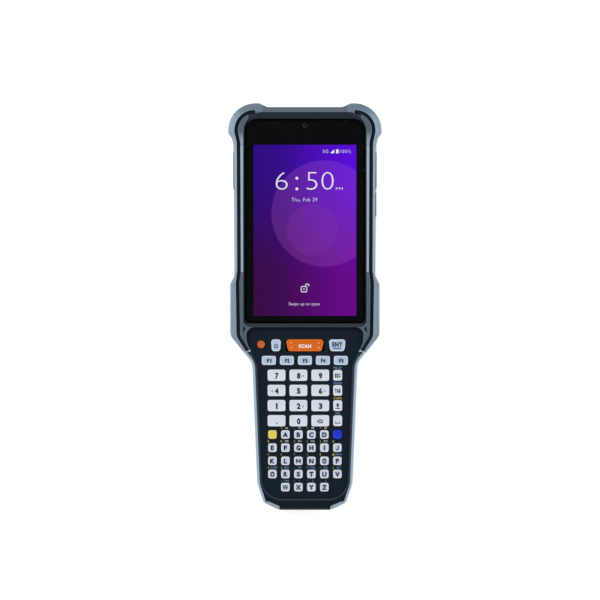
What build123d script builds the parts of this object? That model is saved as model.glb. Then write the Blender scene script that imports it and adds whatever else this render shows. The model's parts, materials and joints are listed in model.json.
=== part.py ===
"""Handheld barcode terminal: touch display above a 53-key handle, battery in its back.

Frame, in millimetres: the terminal lies on its back. +Z points out of the display,
+Y towards the scanning end and +X to the right of somebody looking at the display.
The origin lies on the resting plane, under the middle of the whole part.
"""
import os

from build123d import *

# ---------------------------------------------------------------- driving dimensions
overall_length = 223.6      # heel end to the tips of the corner horns
body_depth = 38.0           # resting plane to the rim round the display
corner_half = 42.2          # half width over the corner bumpers

half_length = overall_length / 2
far = 2 * overall_length    # larger than the part in every direction

# heights
handle_drop = 2.0           # the rim round the keypad lies this far below the display's
deck_drop = 3.4             # rim round the display to the deck
split_drop = 13.0           # rim round the display to the joint between the housings
widest_drop = 1.0           # the bumpers are widest this far under that joint
tub_z = 10.0                # the bumpers end here, and the bare rear housing shows below
handle_depth = body_depth - handle_drop
deck_z = body_depth - deck_drop     # front housing's deck, which is also the keypad's face
split_z = body_depth - split_drop
widest_z = split_z - widest_drop
front_lean = 1.0            # how far the bumpers lean inwards at the front rim
back_lean = 0.7             # the same at their lower edge

# outline of the bumpers at their widest height, right half, from the scanning end down
horn_height = 2.05          # the corner horns stand this far past the scanning end
horn_length = 17.2
horn_slope = 4.3
corner_radius = 15.0
corner_length = 14.55       # scanning end to the lower end of a corner bumper
corner_step = 2.0
corner_step_length = 2.6
rail_step = 2.9             # corner bumpers to the side rails
rail_taper = 0.6
rail_start = 6.2
shoulder_step = 2.3
neck_step = 12.1            # shoulder bumpers to the neck, where the handle starts
handle_taper = 2.7
heel_step = 3.6
heel_chamfer = 8.6
rail_low_y = 17.0
shoulder_top_y = 12.6
shoulder_low_y = -16.0
neck_y = -30.8
heel_length = 14.8
heel_corner_length = 4.2
soft_radius = 3.0           # rounding of the small turns in the outline
scan_end_y = half_length - horn_height
horn_tip_x = corner_half - horn_length
horn_foot_x = horn_tip_x - horn_slope
corner_low_y = scan_end_y - corner_length
corner_step_half = corner_half - corner_step
corner_step_y = corner_low_y - corner_step_length
rail_half_top = corner_half - rail_step
rail_half_low = rail_half_top - rail_taper
rail_top_y = corner_low_y - rail_start
shoulder_half = rail_half_low + shoulder_step
neck_half = shoulder_half - neck_step
heel_half = neck_half - handle_taper
heel_y = heel_length - half_length
heel_corner_half = heel_half - heel_step
heel_corner_y = heel_corner_length - half_length
end_half = heel_corner_half - heel_chamfer

# side profile of the back: head, arched neck, handle, heel
head_flat_low_y = 8.0
head_flat_length = 23.75    # scanning end to the flat of the head's back
neck_rise = 7.0             # clear height under the arched neck
neck_arch_top_y = -10.0
neck_arch_low_y = -34.0
handle_flat_length = 27.8   # heel end to the upper end of the handle's flat
heel_flat_length = 6.8
head_ramp_rise = 9.0        # how far the back climbs towards the scanning end
back_edge_bevel = 4.0
tub_lean = 2.5              # how far the rear housing's sides lean in down to the back
tub_flare = 0.4             # its outline against the bumpers', at their widest height
tub_corner_radii = (15.0, 14.0, 22.0, 30.0, 11.0)   # scanning end, shoulder, neck, heel, end

# side profile of the front
head_rim_low_y = -6.0
handle_rim_top_y = -24.0
profile_radius = 40.0       # of the soft steps between head and handle
end_slope_length = 5.9
end_slope_drop = 14.0       # rim round the keypad to the foot of the heel's slope
end_reach = 4.0             # how far the side profiles are drawn past the part's ends

# walls, joints between pieces
bumper_wall = 2.1
rim_bevel = 1.1             # bevel of the front rim
fit_gap = 0.05              # between pieces that are pressed or bonded together
housing_wall = 1.6
back_wall = 4.5             # thick enough for the back's bevelled edges
deck_thickness = 1.8
seam_gap = 0.18
slide_gap = 0.25            # round everything that moves

# seams that cut the bumper ring into its pieces
top_seam_step = 0.5         # upper ends of the side rails to the seam
rail_seam_y = 18.7
neck_seam_step = 7.8
neck_seam_x = shoulder_half - neck_seam_step
neck_seam_y = -25.6
neck_seam_turn = 38.0       # degrees, square to the strip that it cuts
lip_margin = 0.9
lip_half = neck_half - lip_margin   # half width of the straight joint under the lip

# groove that runs round the bumpers, and the soft inlay in it
groove_width = 2.0
groove_rim = 3.15           # scanning end to the groove's outer stretch
groove_start_x = horn_tip_x + 2.2
groove_mouth_x = groove_start_x + 3.8   # open towards the display up to here
groove_depth = 2.2
groove_floor_drop = 2.95    # the groove's floor is nowhere lower under the rim
inlay_thickness = 1.0
inlay_sink = 0.4            # least depth of the inlay under the front

# display
glass_margin = 5.6          # side rails' outline to the glass
glass_top_margin = 6.75     # scanning end to the glass
glass_half = rail_half_low - glass_margin
glass_top_y = scan_end_y - glass_top_margin
glass_low_y = -9.2
glass_thickness = 1.4
glass_top_radius = 7.0
glass_low_radius = 3.3
bezel_rim = 0.6             # bezel showing beside the glass
bezel_top_band = 3.5        # bezel showing above the glass
bezel_top_radius = 11.0
bezel_lip = 2.0             # bezel showing below the glass
bezel_drop = 1.0            # rim down to the bezel beside the glass
bezel_sink = 0.2            # and at the scanning end
bezel_ledge = 1.5           # ledge that the glass is bonded to
bezel_ledge_thickness = 0.55
screen_margin = 5.0         # visible picture, 4.3 inch at 5:3, to the glass's edge
screen_top_margin = 14.4
screen_low_margin = 4.2
screen_half = glass_half - screen_margin
screen_top_y = glass_top_y - screen_top_margin
screen_low_y = glass_low_y + screen_low_margin
lcd_border = 2.3
lcd_gap = 0.3
corner_notch = (            # cut beside the bezel's lower corners
    (glass_half + 0.7, glass_low_y - 0.9),
    (glass_half - 1.0, glass_low_y - 2.8),
    (glass_half + 1.1, glass_low_y - 5.5),
)

# keypad recess
panel_margin = 2.8          # handle's side to the keypad's face
panel_top_y = -11.35
panel_shoulder_half = shoulder_half - 8.8
panel_shoulder_y = -19.5
panel_neck_y = -32.0
panel_low_length = 6.6
panel_low_y = panel_low_length - half_length
panel_low_radius = 11.0
panel_length = panel_top_y - panel_low_y
ridge_width = 0.6
ridge_height = 1.0
ridge_top_y = -24.6         # the ridge and the groove outside it start here
trim_top_wall = 1.5         # the handle trim's wall beside the ridge's groove
heel_zone_y = heel_y - 1.0  # outside the ridge, the housing is raised from here on
heel_zone_rise = 0.6

# keys
key_height = 1.4            # how far a key stands out of the deck
key_gap = 0.25
key_travel = 0.6
flange_margin = 0.6
flange_thickness = 0.8
key_corner = 0.7            # cut corners of the small keys
key_edge = 0.3              # bevel round a key's top
letter_gap_x = 2.45
letter_gap_y = 2.55
number_gap_x = 2.2
number_gap_y = 2.1
side_key_width = 4.9
side_key_gap_y = 2.4
function_gap = 2.15
function_height = 5.0
top_key_height = 6.5
top_key_gap = 2.55
top_key_radius = 1.2
scan_key_taper = 1.3        # each end's lean, top to bottom
enter_key_width = 9.4
enter_key_taper = 0.8
home_key_width = 5.6
home_key_taper = 0.5
power_key_radius = 2.15
power_key_rise = 0.5        # above the middle of the top row

# places of the key rows, as shares of the keypad's length
top_row_share = 0.104
function_row_share = 0.192
number_row_share = 0.2786
number_pitch_share = 0.0884
letter_row_share = 0.624
letter_pitch_share = 0.0767

# places of the keys across the handle
letter_field_half = heel_half - 6.1
number_field_half = heel_half - 5.8
function_field_half = neck_half - 5.35
power_key_x = 4.9 - neck_half
home_key_x = power_key_x + 8.2
enter_key_x = neck_half - 11.2

# keypad stack, from the deck down
board_thickness = 1.4
board_gap = 4.5             # deck's underside to the keypad board
mat_clear = 0.15            # between a fully pressed key and the mat
mat_sheet = 1.0
mat_margin = 1.5            # the mat's edge to the housing's inner side
skirt_width = 1.0
board_margin = 0.35
keypad_low_length = 12.0
keypad_top_y = -13.0
rib_spots = (-40.0, -65.0, -90.0)   # ribs that the keypad board lies against
rib_length = 3.0
rib_depth = 1.2

# head stack, from the deck down
chassis_thickness = 1.5
chassis_low_y = -9.0
post_length = 3.0
post_size = 3.5
post_x = 22.0
post_low_y = 20.0
post_margin = 8.0           # main board's upper edge to the upper posts
main_board_thickness = 1.6
main_board_low_y = 16.5
main_board_margin = 11.0    # main board to the glass's upper edge
shield_spots = ((-10.0, 60.0), (9.0, 30.0))
shield_width = 24.0
shield_length = 20.0
shield_height = 1.6

# battery and its bay
battery_half = heel_half - 6.2
battery_top_y = -34.0
battery_low_y = heel_y - 0.5
battery_top_z = 16.0
battery_radius = 3.0
battery_skin_drop = 0.3     # how far its skin lies under the housing's
bay_gap = 0.3
bay_roof_gap = 0.5
bay_wall = 1.2

# battery latch
latch_half = 7.0
latch_top_y = -22.6
latch_length = 6.0
latch_travel = 3.0
latch_thickness = 2.0
latch_proud = 0.3
latch_shoulder = 1.0        # the stalk and the tongue start behind the plate's end
tongue_half = 3.5
tongue_thickness = 1.2
tongue_low_z = 9.9
tongue_tip_y = -33.2
stalk_width = 4.0           # stalk that joins the tongue to the plate
latch_block_half = 9.0
latch_block_top_y = -20.0
latch_block_z = 13.0
notch_gap = 0.6             # round the tongue in the battery's notch
notch_depth = 3.0
grip_count = 3
grip_start = 1.5
grip_pitch = 1.6
grip_width = 0.7
grip_depth = 0.5
grip_half = 4.5

# scan window and engine
window_half = horn_foot_x - 5.7
window_low_z = 11.0
window_top_z = split_z - 1.5
window_thickness = 1.2
window_rebate = 1.5
window_sink = 0.25          # the window's face under the housing's
window_frame_margin = 2.0
window_frame_y = scan_end_y - 5.95
scan_opening = window_half + 3.7    # half width of the bumper's opening round it
scan_opening_top_z = window_top_z + 2.0
engine_half = window_half - 4.5
engine_depth = 13.0
engine_low_z = 11.5
engine_height = window_top_z - engine_low_z - 0.5
engine_gap = 1.0
engine_chamfer = 1.0
cradle_x = engine_half - 2.5
cradle_width = 1.8

# camera modules: one under the glass, one looking out of the back
camera_size = 8.5
camera_height = 5.5
barrel_radius = 3.0
barrel_length = 1.8
front_camera_y = glass_top_y - 4.0
rear_camera_x = -18.0
rear_camera_y = glass_top_y - 29.0
camera_window_radius = 5.5
camera_window_thickness = 1.0

# loudspeaker
speaker_x = 16.0
speaker_y = 36.0
speaker_radius = 9.0
speaker_height = 4.5
slot_length = 12.0
slot_width = 1.4
slot_pitch = 3.2
slot_count = 5

# side keys
side_button_drop = 8.8      # rim round the display to the middle of the side keys
side_button_height = 5.0
side_button_proud = 0.5
side_button_travel = 0.6
side_button_length = 20.0
side_button_start = 14.4    # upper end of the side rails to the middle of a scan key
rocker_length = 13.0
rocker_step = 18.6          # scan key to rocker
button_flange = 1.0
button_flange_thickness = 0.8
button_seat_depth = 1.9
button_block = 3.4
plunger_size = 1.6
plunger_reach = 0.4         # how far a plunger stands out of the wall, inside
rocker_reach = 4.0          # the rocker's two plungers from its middle
side_key_rounding = 0.4
switch_length = 5.0
switch_depth = 2.5
switch_height = 2.4
switch_gap = 0.1

# screws, contacts, strap bar
head_screw_x = rail_half_low - 7.7
head_screw_y = glass_top_y - 6.0
low_screw_y = 12.0
heel_screw_x = heel_half - 9.0
heel_screw_y = 8.2 - half_length
screw_recess_radius = 2.35
screw_seat_z = 5.6
boss_half = 3.2
contact_width = 1.6
contact_thickness = 0.8
contact_length = 4.2
contact_pitch = 4.0
contact_count = 4
contact_y = -40.0
dock_contact_z = 14.0
dock_contact_y = 0.45 - half_length
strap_slot_half = end_half - 3.0
strap_slot_top_z = 9.5
strap_slot_y = 11.4 - half_length
strap_bar_radius = 1.25
strap_bar_half = strap_slot_half + 1.8
strap_bar_z = 5.5
strap_bar_y = 5.2 - half_length
heel_floor_z = 11.2         # the heel is solid up to here

# ---------------------------------------------------------------- derived sizes
core_inset = bumper_wall + fit_gap
hollow_inset = core_inset + housing_wall
deck_low_z = deck_z - deck_thickness
flange_top_z = deck_low_z - fit_gap
flange_low_z = flange_top_z - flange_thickness
mat_top_z = flange_low_z - key_travel - mat_clear
board_top_z = deck_low_z - board_gap
glass_z = deck_z + fit_gap + bezel_ledge_thickness
chassis_top_z = deck_low_z - fit_gap
chassis_low_z = chassis_top_z - chassis_thickness
chassis_half = head_screw_x - boss_half - slide_gap
main_board_top_z = chassis_low_z - post_length
main_board_top_y = glass_top_y - main_board_margin
main_board_half = glass_half - bezel_rim
lcd_half = screen_half + lcd_border
lcd_low_y = screen_low_y - lcd_border
lcd_top_y = screen_top_y + lcd_border
bay_roof_z = battery_top_z + bay_roof_gap
core_end_y = scan_end_y - core_inset
engine_top_y = window_frame_y - engine_gap
rear_camera_z = camera_window_thickness + 3 * fit_gap + barrel_length
latch_low_z = neck_rise - latch_proud
latch_top_z = latch_low_z + latch_thickness
side_button_z = body_depth - side_button_drop
side_button_y = rail_top_y - side_button_start
rocker_y = side_button_y - rocker_step
keypad_low_y = keypad_low_length - half_length
letter_size_x = (2 * letter_field_half - 5 * letter_gap_x) / 6
letter_pitch_x = letter_size_x + letter_gap_x
letter_pitch_y = letter_pitch_share * panel_length
letter_size_y = letter_pitch_y - letter_gap_y
letter_top_y = panel_top_y - letter_row_share * panel_length
number_width = (2 * number_field_half - side_key_width - 3 * number_gap_x) / 3
number_pitch_x = number_width + number_gap_x
number_pitch_y = number_pitch_share * panel_length
number_height = number_pitch_y - number_gap_y
number_top_y = panel_top_y - number_row_share * panel_length
side_key_x = number_field_half - side_key_width / 2
side_key_height = number_pitch_y - side_key_gap_y
function_width = (2 * function_field_half - 4 * function_gap) / 5
function_pitch = function_width + function_gap
function_y = panel_top_y - function_row_share * panel_length
top_key_y = panel_top_y - top_row_share * panel_length
power_key_y = top_key_y + power_key_rise
scan_key_width = 2 * (enter_key_x - enter_key_width / 2 - top_key_gap)
screw_spots = [
    (side * x, y)
    for x, y in ((head_screw_x, head_screw_y), (head_screw_x, low_screw_y),
                 (heel_screw_x, heel_screw_y))
    for side in (-1, 1)
]
side_keys = (               # side, place, length, reach of the plungers
    (-1, side_button_y, side_button_length, 0.0),
    (1, side_button_y, side_button_length, 0.0),
    (1, rocker_y, rocker_length, rocker_reach),
)


# ---------------------------------------------------------------- helpers
def mirrored_face(right_half):
    """Closed face from its right half, given as (x, y, radius) from the top down."""
    left_half = [(-x, y, r) for x, y, r in reversed(right_half)]
    corners = right_half + left_half
    rim = FilletPolyline(
        *[(x, y) for x, y, r in corners], radius=[r for x, y, r in corners], close=True
    )
    return make_face(rim)


def inset(face, distance):
    return offset(face, -distance, kind=Kind.INTERSECTION) if distance else face


def column(face, low_z, top_z):
    return extrude(Pos(0, 0, low_z) * face, top_z - low_z)


def block(x_low, x_high, y_low, y_high, z_low, z_high):
    centre = Pos((x_low + x_high) / 2, (y_low + y_high) / 2, (z_low + z_high) / 2)
    return centre * Box(x_high - x_low, y_high - y_low, z_high - z_low)


def side_profile(corners):
    """Solid as wide as the part, from (y, z, radius) corners of its side view."""
    rim = FilletPolyline(
        *[(y, z) for y, z, r in corners], radius=[r for y, z, r in corners], close=True
    )
    return extrude(Plane.YZ * make_face(rim), corner_half + 2, both=True)


def both_sides(solid):
    """The solid and its mirror image across the middle of the part."""
    return [solid, mirror(solid, Plane.YZ)]


# ---------------------------------------------------------------- outlines
bumper_plan = mirrored_face([
    (horn_foot_x, scan_end_y, soft_radius),
    (horn_tip_x, half_length, soft_radius),
    (corner_half, half_length, corner_radius),
    (corner_half, corner_low_y, soft_radius - 0.5),
    (corner_step_half, corner_step_y, soft_radius),
    (rail_half_top, rail_top_y, soft_radius),
    (rail_half_low, rail_low_y, soft_radius),
    (shoulder_half, shoulder_top_y, soft_radius),
    (shoulder_half, shoulder_low_y, soft_radius * 2),
    (neck_half, neck_y, soft_radius * 3),
    (heel_half, heel_y, soft_radius * 3),
    (heel_corner_half, heel_corner_y, soft_radius),
    (end_half, -half_length, soft_radius),
])

scan_end_radius, shoulder_radius, neck_radius, heel_radius, end_radius = tub_corner_radii
tub_plan = mirrored_face([      # drawn at the bumpers' widest height
    (rail_half_low + tub_flare, scan_end_y - tub_flare, scan_end_radius),
    (rail_half_low + tub_flare, shoulder_low_y + tub_flare, shoulder_radius),
    (neck_half + tub_flare, neck_y - tub_flare, neck_radius),
    (heel_half + tub_flare, heel_y, heel_radius),
    (heel_half - tub_flare, 2 * tub_flare - half_length, end_radius),
])

hollow_plan = mirrored_face([   # inside both housings
    (rail_half_low - hollow_inset, scan_end_y - hollow_inset, 11.0),
    (rail_half_low - hollow_inset, shoulder_low_y, 12.0),
    (neck_half - hollow_inset, neck_y, 20.0),
    (heel_half - hollow_inset, heel_y, 20.0),
    (heel_corner_half - hollow_inset, hollow_inset - half_length, 11.0),
])

glass_plan = mirrored_face([
    (glass_half, glass_top_y, glass_top_radius),
    (glass_half, glass_low_y, glass_low_radius),
])

bezel_plan = mirrored_face([
    (glass_half + bezel_rim, glass_top_y + bezel_top_band, bezel_top_radius),
    (glass_half + bezel_rim, glass_low_y - bezel_lip, glass_low_radius + bezel_rim),
])

panel_plan = mirrored_face([
    (panel_shoulder_half, panel_top_y, 4.0),
    (panel_shoulder_half - 0.4, panel_shoulder_y, 8.0),
    (neck_half - panel_margin, panel_neck_y, 12.0),
    (heel_half - panel_margin, panel_low_y, panel_low_radius),
])

groove_path = FilletPolyline(
    (groove_start_x, scan_end_y - groove_rim),
    (corner_half - 4.7, scan_end_y - groove_rim - fit_gap),
    (corner_half - 4.6, corner_low_y + 0.4),
    (rail_half_top - 3.0, rail_top_y + 1.0),
    (rail_half_low - 2.7, rail_low_y + 2.5),
    (shoulder_half - 4.2, shoulder_top_y + 0.6),
    (shoulder_half - 4.6, shoulder_low_y),
    (neck_seam_x - 1.9, neck_seam_y + 1.5),
    radius=[10.0, 4.0, 4.0, 4.0, 4.0, 6.0],
)

end_slope_y = end_slope_length - half_length
end_slope = end_slope_drop / end_slope_length
under_front = side_profile([
    (half_length + end_reach, body_depth, 0),
    (head_rim_low_y, body_depth, profile_radius),
    (handle_rim_top_y, handle_depth, profile_radius),
    (end_slope_y, handle_depth, 2.0),
    (-half_length - end_reach, handle_depth - end_slope_drop - end_slope * end_reach, 0),
    (-half_length - end_reach, -end_reach, 0),
    (half_length + end_reach, -end_reach, 0),
])
over_back = side_profile([
    (half_length + end_reach, head_ramp_rise, 0),
    (scan_end_y - head_flat_length, 0, 40.0),
    (head_flat_low_y, 0, 25.0),
    (neck_arch_top_y, neck_rise, 25.0),
    (neck_arch_low_y, neck_rise, 50.0),
    (handle_flat_length - half_length, 0, 90.0),
    (heel_flat_length - half_length, 0, 7.0),
    (-half_length - 1, tub_z, 0),
    (-half_length - 1, body_depth + end_reach, 0),
    (half_length + end_reach, body_depth + end_reach, 0),
])


def tub_form(depth):
    """Bevelled back of the rear housing below the bumpers, moved inwards by depth."""
    walls = loft(
        [Pos(0, 0, -1) * inset(tub_plan, tub_lean + depth).face(),
         Pos(0, 0, widest_z) * inset(tub_plan, depth).face()],
        ruled=True,
    )
    back = Pos(0, 0, depth) * over_back
    form = walls & back
    back_edges = new_edges(walls, back, combined=form).filter_by(
        lambda edge: edge.center().Z < widest_z - 1
    )
    return chamfer(back_edges, back_edge_bevel) & block(-far, far, -far, far, -far, tub_z)


# ---------------------------------------------------------------- outer form
def outer_form():
    """Head and handle as wide as the bumpers, from the tub up to the front rim."""
    widest = Pos(0, 0, widest_z) * bumper_plan.face()
    upper_rim = Pos(0, 0, body_depth + 1) * inset(bumper_plan, front_lean).face()
    lower_rim = Pos(0, 0, tub_z) * inset(bumper_plan, back_lean).face()
    walls = loft([widest, upper_rim], ruled=True) + loft([lower_rim, widest], ruled=True)
    form = walls & under_front
    return chamfer(new_edges(walls, under_front, combined=form), rim_bevel)


outer = outer_form()


def heel_block(low_z, top_z):
    """The housings' own share of the outside, between the ends of the handle trims."""
    half = end_half - fit_gap
    return outer & block(-half, half, -far, heel_y, low_z, top_z)


# ---------------------------------------------------------------- side keys
def rail_x(y):
    """Half width of the bumpers' outline along the side rails."""
    share = (y - rail_low_y) / (rail_top_y - rail_low_y)
    return rail_half_low + share * (rail_half_top - rail_half_low)


def side_block(side, y, half_y, half_z, inner_x, outer_x):
    """Box beside the display at the height of the side keys."""
    x_low, x_high = sorted((side * inner_x, side * outer_x))
    return block(
        x_low, x_high, y - half_y, y + half_y, side_button_z - half_z, side_button_z + half_z
    )


def side_window(side, y, length, reach):
    """Opening in a side rail for the face of a side key."""
    half_y = length / 2 + slide_gap
    half_z = side_button_height / 2 + slide_gap
    return side_block(side, y, half_y, half_z, rail_x(y) - bumper_wall - 1, far)


def side_pocket(side, y, length, reach):
    """Hollow in the front housing's wall for a side key's flange and plungers."""
    wall_x = rail_x(y) - core_inset
    half_y = length / 2 + button_flange + slide_gap
    half_z = side_button_height / 2 + slide_gap
    half_hole = plunger_size / 2 + slide_gap
    pocket = side_block(side, y, half_y, half_z, wall_x - button_seat_depth, far)
    for spot_y in {y - reach, y + reach}:
        pocket += side_block(
            side, spot_y, half_hole, half_hole, wall_x - button_block - 1, far
        )
    return pocket


def side_key(side, y, length, reach):
    """Side key: face through the rail, flange behind it, plungers to its switches."""
    wall_x = rail_x(y) - core_inset
    lean = front_lean * (side_button_z - widest_z) / (body_depth + 1 - widest_z)
    flange_x = wall_x - slide_gap
    half_z = side_button_height / 2
    face = side_block(side, y, length / 2, half_z, flange_x - 0.1,
                      rail_x(y) - lean + side_button_proud)
    outside = face.faces().sort_by(Axis.X)[-1 if side > 0 else 0]
    face = fillet(outside.edges(), side_key_rounding)
    key = face + side_block(side, y, length / 2 + button_flange, half_z,
                            flange_x - button_flange_thickness, flange_x)
    for spot_y in {y - reach, y + reach}:
        key += side_block(side, spot_y, plunger_size / 2, plunger_size / 2,
                          wall_x - button_block - plunger_reach, flange_x)
    return key


# ---------------------------------------------------------------- bumper ring
def groove_floor(rise):
    """Everything below a face that lies above the groove's floor by rise."""
    floor = Pos(0, 0, rise - groove_depth) * under_front
    return floor + block(-far, far, -far, far, 0, body_depth - groove_floor_drop + rise)


def bumper_ring():
    """Everything that the bumpers, rails and trims are cut from, as one ring."""
    ring = outer - block(-far, far, -far, far, 0, tub_z + fit_gap)
    ring -= column(inset(bumper_plan, bumper_wall), 0, deck_z + fit_gap)
    ring -= column(inset(bezel_plan, -fit_gap), deck_z - 1, far)
    handle_zone = block(-far, far, -far, ridge_top_y, 0, far)
    ring -= column(inset(bumper_plan, trim_top_wall), deck_z - 1, far) & handle_zone
    ring -= column(inset(panel_plan, -fit_gap), deck_z - 1, far)
    ring -= block(-lip_half, lip_half, panel_top_y - 1, glass_low_y, deck_z - 1, far)
    ring -= block(-end_half, end_half, -far, heel_y, 0, far)
    ring -= block(-scan_opening, scan_opening, core_end_y - 1, far, 0, scan_opening_top_z)
    groove = extrude(trace(groove_path, groove_width), far)
    groove += block(
        groove_start_x, groove_mouth_x, glass_top_y - groove_width,
        scan_end_y - groove_rim, 0, far
    )
    groove += extrude(make_face(Polyline(*corner_notch, close=True)), far)
    for side_groove in both_sides(groove):
        ring -= side_groove - groove_floor(0)
    return ring


def seams():
    cuts = []
    for side in (-1, 1):
        for y in (rail_top_y - top_seam_step, rail_seam_y):
            cuts.append(Pos(side * corner_half, y, 0) * Box(24, seam_gap, far))
        turn = Rot(0, 0, -side * neck_seam_turn)
        cuts.append(Pos(side * neck_seam_x, neck_seam_y, 0) * turn * Box(16, seam_gap, far))
    return cuts


def bumper_pieces():
    """Solids of the handle trims, shoulder bumpers, side rails and top bumper."""
    windows = [side_window(*spot) for spot in side_keys]
    solids = (bumper_ring() - seams() - windows).solids().sort_by(Axis.Y)
    return solids[0:2], solids[2:4], solids[4:6], solids[6:]


def groove_inlays():
    strip = extrude(trace(groove_path, groove_width - 2 * fit_gap), far)
    strip &= Pos(0, 0, -inlay_sink) * under_front
    strip &= groove_floor(inlay_thickness)
    return both_sides(strip - groove_floor(fit_gap))


# ---------------------------------------------------------------- keys
def small_face(x, y, width, height):
    """Outline of a small key, its corners cut off."""
    return Pos(x, y) * chamfer(Rectangle(width, height).vertices(), key_corner)


def top_face(x, width, taper):
    """Outline of a key in the top row, narrower towards the heel."""
    low = width / 2 - taper
    high = width / 2
    half_y = top_key_height / 2
    corners = [(-low, -half_y), (low, -half_y), (high, half_y), (-high, half_y)]
    face = make_face(Polyline(*corners, close=True))
    return Pos(x, top_key_y) * fillet(face.vertices(), top_key_radius)


def small_key(x, y, width, height):
    return small_face(x, y, width, height), x, y, width, height


def top_key(x, width, taper):
    return top_face(x, width, taper), x, top_key_y, width, top_key_height


def letter_key(column_number, row):
    x = (column_number - 2.5) * letter_pitch_x
    y = letter_top_y - row * letter_pitch_y
    return small_key(x, y, letter_size_x, letter_size_y)


def number_key(column_number, row):
    x = column_number * number_pitch_x + number_width / 2 - number_field_half
    y = number_top_y - row * number_pitch_y
    return small_key(x, y, number_width, number_height)


def side_column_key(row):
    y = number_top_y - row * number_pitch_y
    return small_key(side_key_x, y, side_key_width, side_key_height)


def key_layout():
    """Every key's outline, place and size, by the name of the piece it belongs to."""
    power_face = Pos(power_key_x, power_key_y) * Circle(power_key_radius)
    power_size = 2 * power_key_radius
    layout = {
        "power_key": [(power_face, power_key_x, power_key_y, power_size, power_size)],
        "home_key": [top_key(home_key_x, home_key_width, home_key_taper)],
        "scan_key": [top_key(0, scan_key_width, scan_key_taper)],
        "enter_key": [top_key(enter_key_x, enter_key_width, enter_key_taper)],
    }
    for number in range(5):
        x = (number - 2) * function_pitch
        spot = small_key(x, function_y, function_width, function_height)
        layout[f"function_key_{number + 1}"] = [spot]
    for digit in range(1, 10):
        layout[f"key_{digit}"] = [number_key((digit - 1) % 3, 2 - (digit - 1) // 3)]
    for number, name in enumerate(("point_key", "key_0", "backspace_key")):
        layout[name] = [number_key(number, 3)]
    for row, name in enumerate(("escape_key", "tab_key", "shift_key", "space_key")):
        layout[name] = [side_column_key(row)]
    layout["yellow_key"] = [letter_key(0, 0)]
    layout["blue_key"] = [letter_key(5, 0)]
    layout["letter_keys_a_to_d"] = [letter_key(number, 0) for number in range(1, 5)]
    layout["letter_keys_e_to_j"] = [letter_key(number, 1) for number in range(6)]
    layout["letter_keys_k_to_p"] = [letter_key(number, 2) for number in range(6)]
    last_rows = [letter_key(number, 3) for number in range(6)]
    last_rows += [letter_key(number, 4) for number in range(1, 5)]
    layout["letter_keys_q_to_z"] = last_rows
    return layout


key_table = key_layout()
key_spots = [spot for spots in key_table.values() for spot in spots]


def key_solid(face, x, y, width, height):
    """One key: cap through the deck and a flange under it that keeps it in."""
    cap = column(face, flange_low_z, deck_z + key_height)
    cap = chamfer(cap.faces().sort_by(Axis.Z)[-1].edges(), key_edge)
    flange_x = width / 2 + flange_margin
    flange_y = height / 2 + flange_margin
    return cap + block(
        x - flange_x, x + flange_x, y - flange_y, y + flange_y, flange_low_z, flange_top_z
    )


def key_opening(face, x, y, width, height):
    """Opening in the deck: square for the small keys, along the outline for the others."""
    hole = offset(face, key_gap, kind=Kind.INTERSECTION)
    if len(face.edges()) == len(small_face(x, y, width, height).edges()):
        hole = Pos(x, y) * Rectangle(width + 2 * key_gap, height + 2 * key_gap)
    return column(hole, deck_low_z - 1, deck_z + 1)


# ---------------------------------------------------------------- keypad stack
def keypad_sheet(margin, low_z, top_z):
    """Sheet as wide as the handle's hollow less a margin."""
    sheet = column(inset(hollow_plan, margin), low_z, top_z)
    return sheet & block(-far, far, keypad_low_y, keypad_top_y, 0, far)


def keypad_board():
    return keypad_sheet(board_margin, board_top_z - board_thickness, board_top_z)


def key_mat():
    """Rubber sheet that the keys rest over, on a skirt that stands on the board."""
    mat = keypad_sheet(mat_margin, board_top_z + fit_gap, mat_top_z)
    hollow = column(inset(hollow_plan, mat_margin + skirt_width), 0, mat_top_z - mat_sheet)
    return mat - (hollow & block(
        -far, far, keypad_low_y + skirt_width, keypad_top_y - skirt_width, 0, far
    ))


# ---------------------------------------------------------------- head stack
def display_bezel():
    ledge_top_z = deck_z + fit_gap + bezel_ledge_thickness
    bezel = column(bezel_plan, deck_z + fit_gap, body_depth)
    bezel -= column(inset(glass_plan, -fit_gap), ledge_top_z, far)
    bezel -= column(inset(glass_plan, bezel_ledge), 0, far)
    slope = side_profile([
        (-far, body_depth - bezel_drop, 0),
        (glass_top_y, body_depth - bezel_drop, 0),
        (glass_top_y + bezel_top_band, body_depth - bezel_sink, 0),
        (far, body_depth - bezel_sink, 0),
        (far, 0, 0),
        (-far, 0, 0),
    ])
    return bezel & slope


def display_window():
    return column(glass_plan, glass_z, glass_z + glass_thickness)


def lcd_module():
    return block(-lcd_half, lcd_half, lcd_low_y, lcd_top_y, deck_low_z, glass_z - fit_gap)


def chassis_frame():
    """Plate behind the display between the screw bosses, with posts for the main board."""
    plate = block(
        -chassis_half, chassis_half, chassis_low_y, glass_top_y, chassis_low_z, chassis_top_z
    )
    gap = camera_size / 2 + slide_gap
    plate -= block(-gap, gap, front_camera_y - gap, far, 0, far)
    half = post_size / 2
    for y in (post_low_y, main_board_top_y - post_margin):
        for x in (-post_x, post_x):
            plate += block(
                x - half, x + half, y - half, y + half, main_board_top_z + fit_gap,
                chassis_low_z + fit_gap,
            )
    return plate


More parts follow.
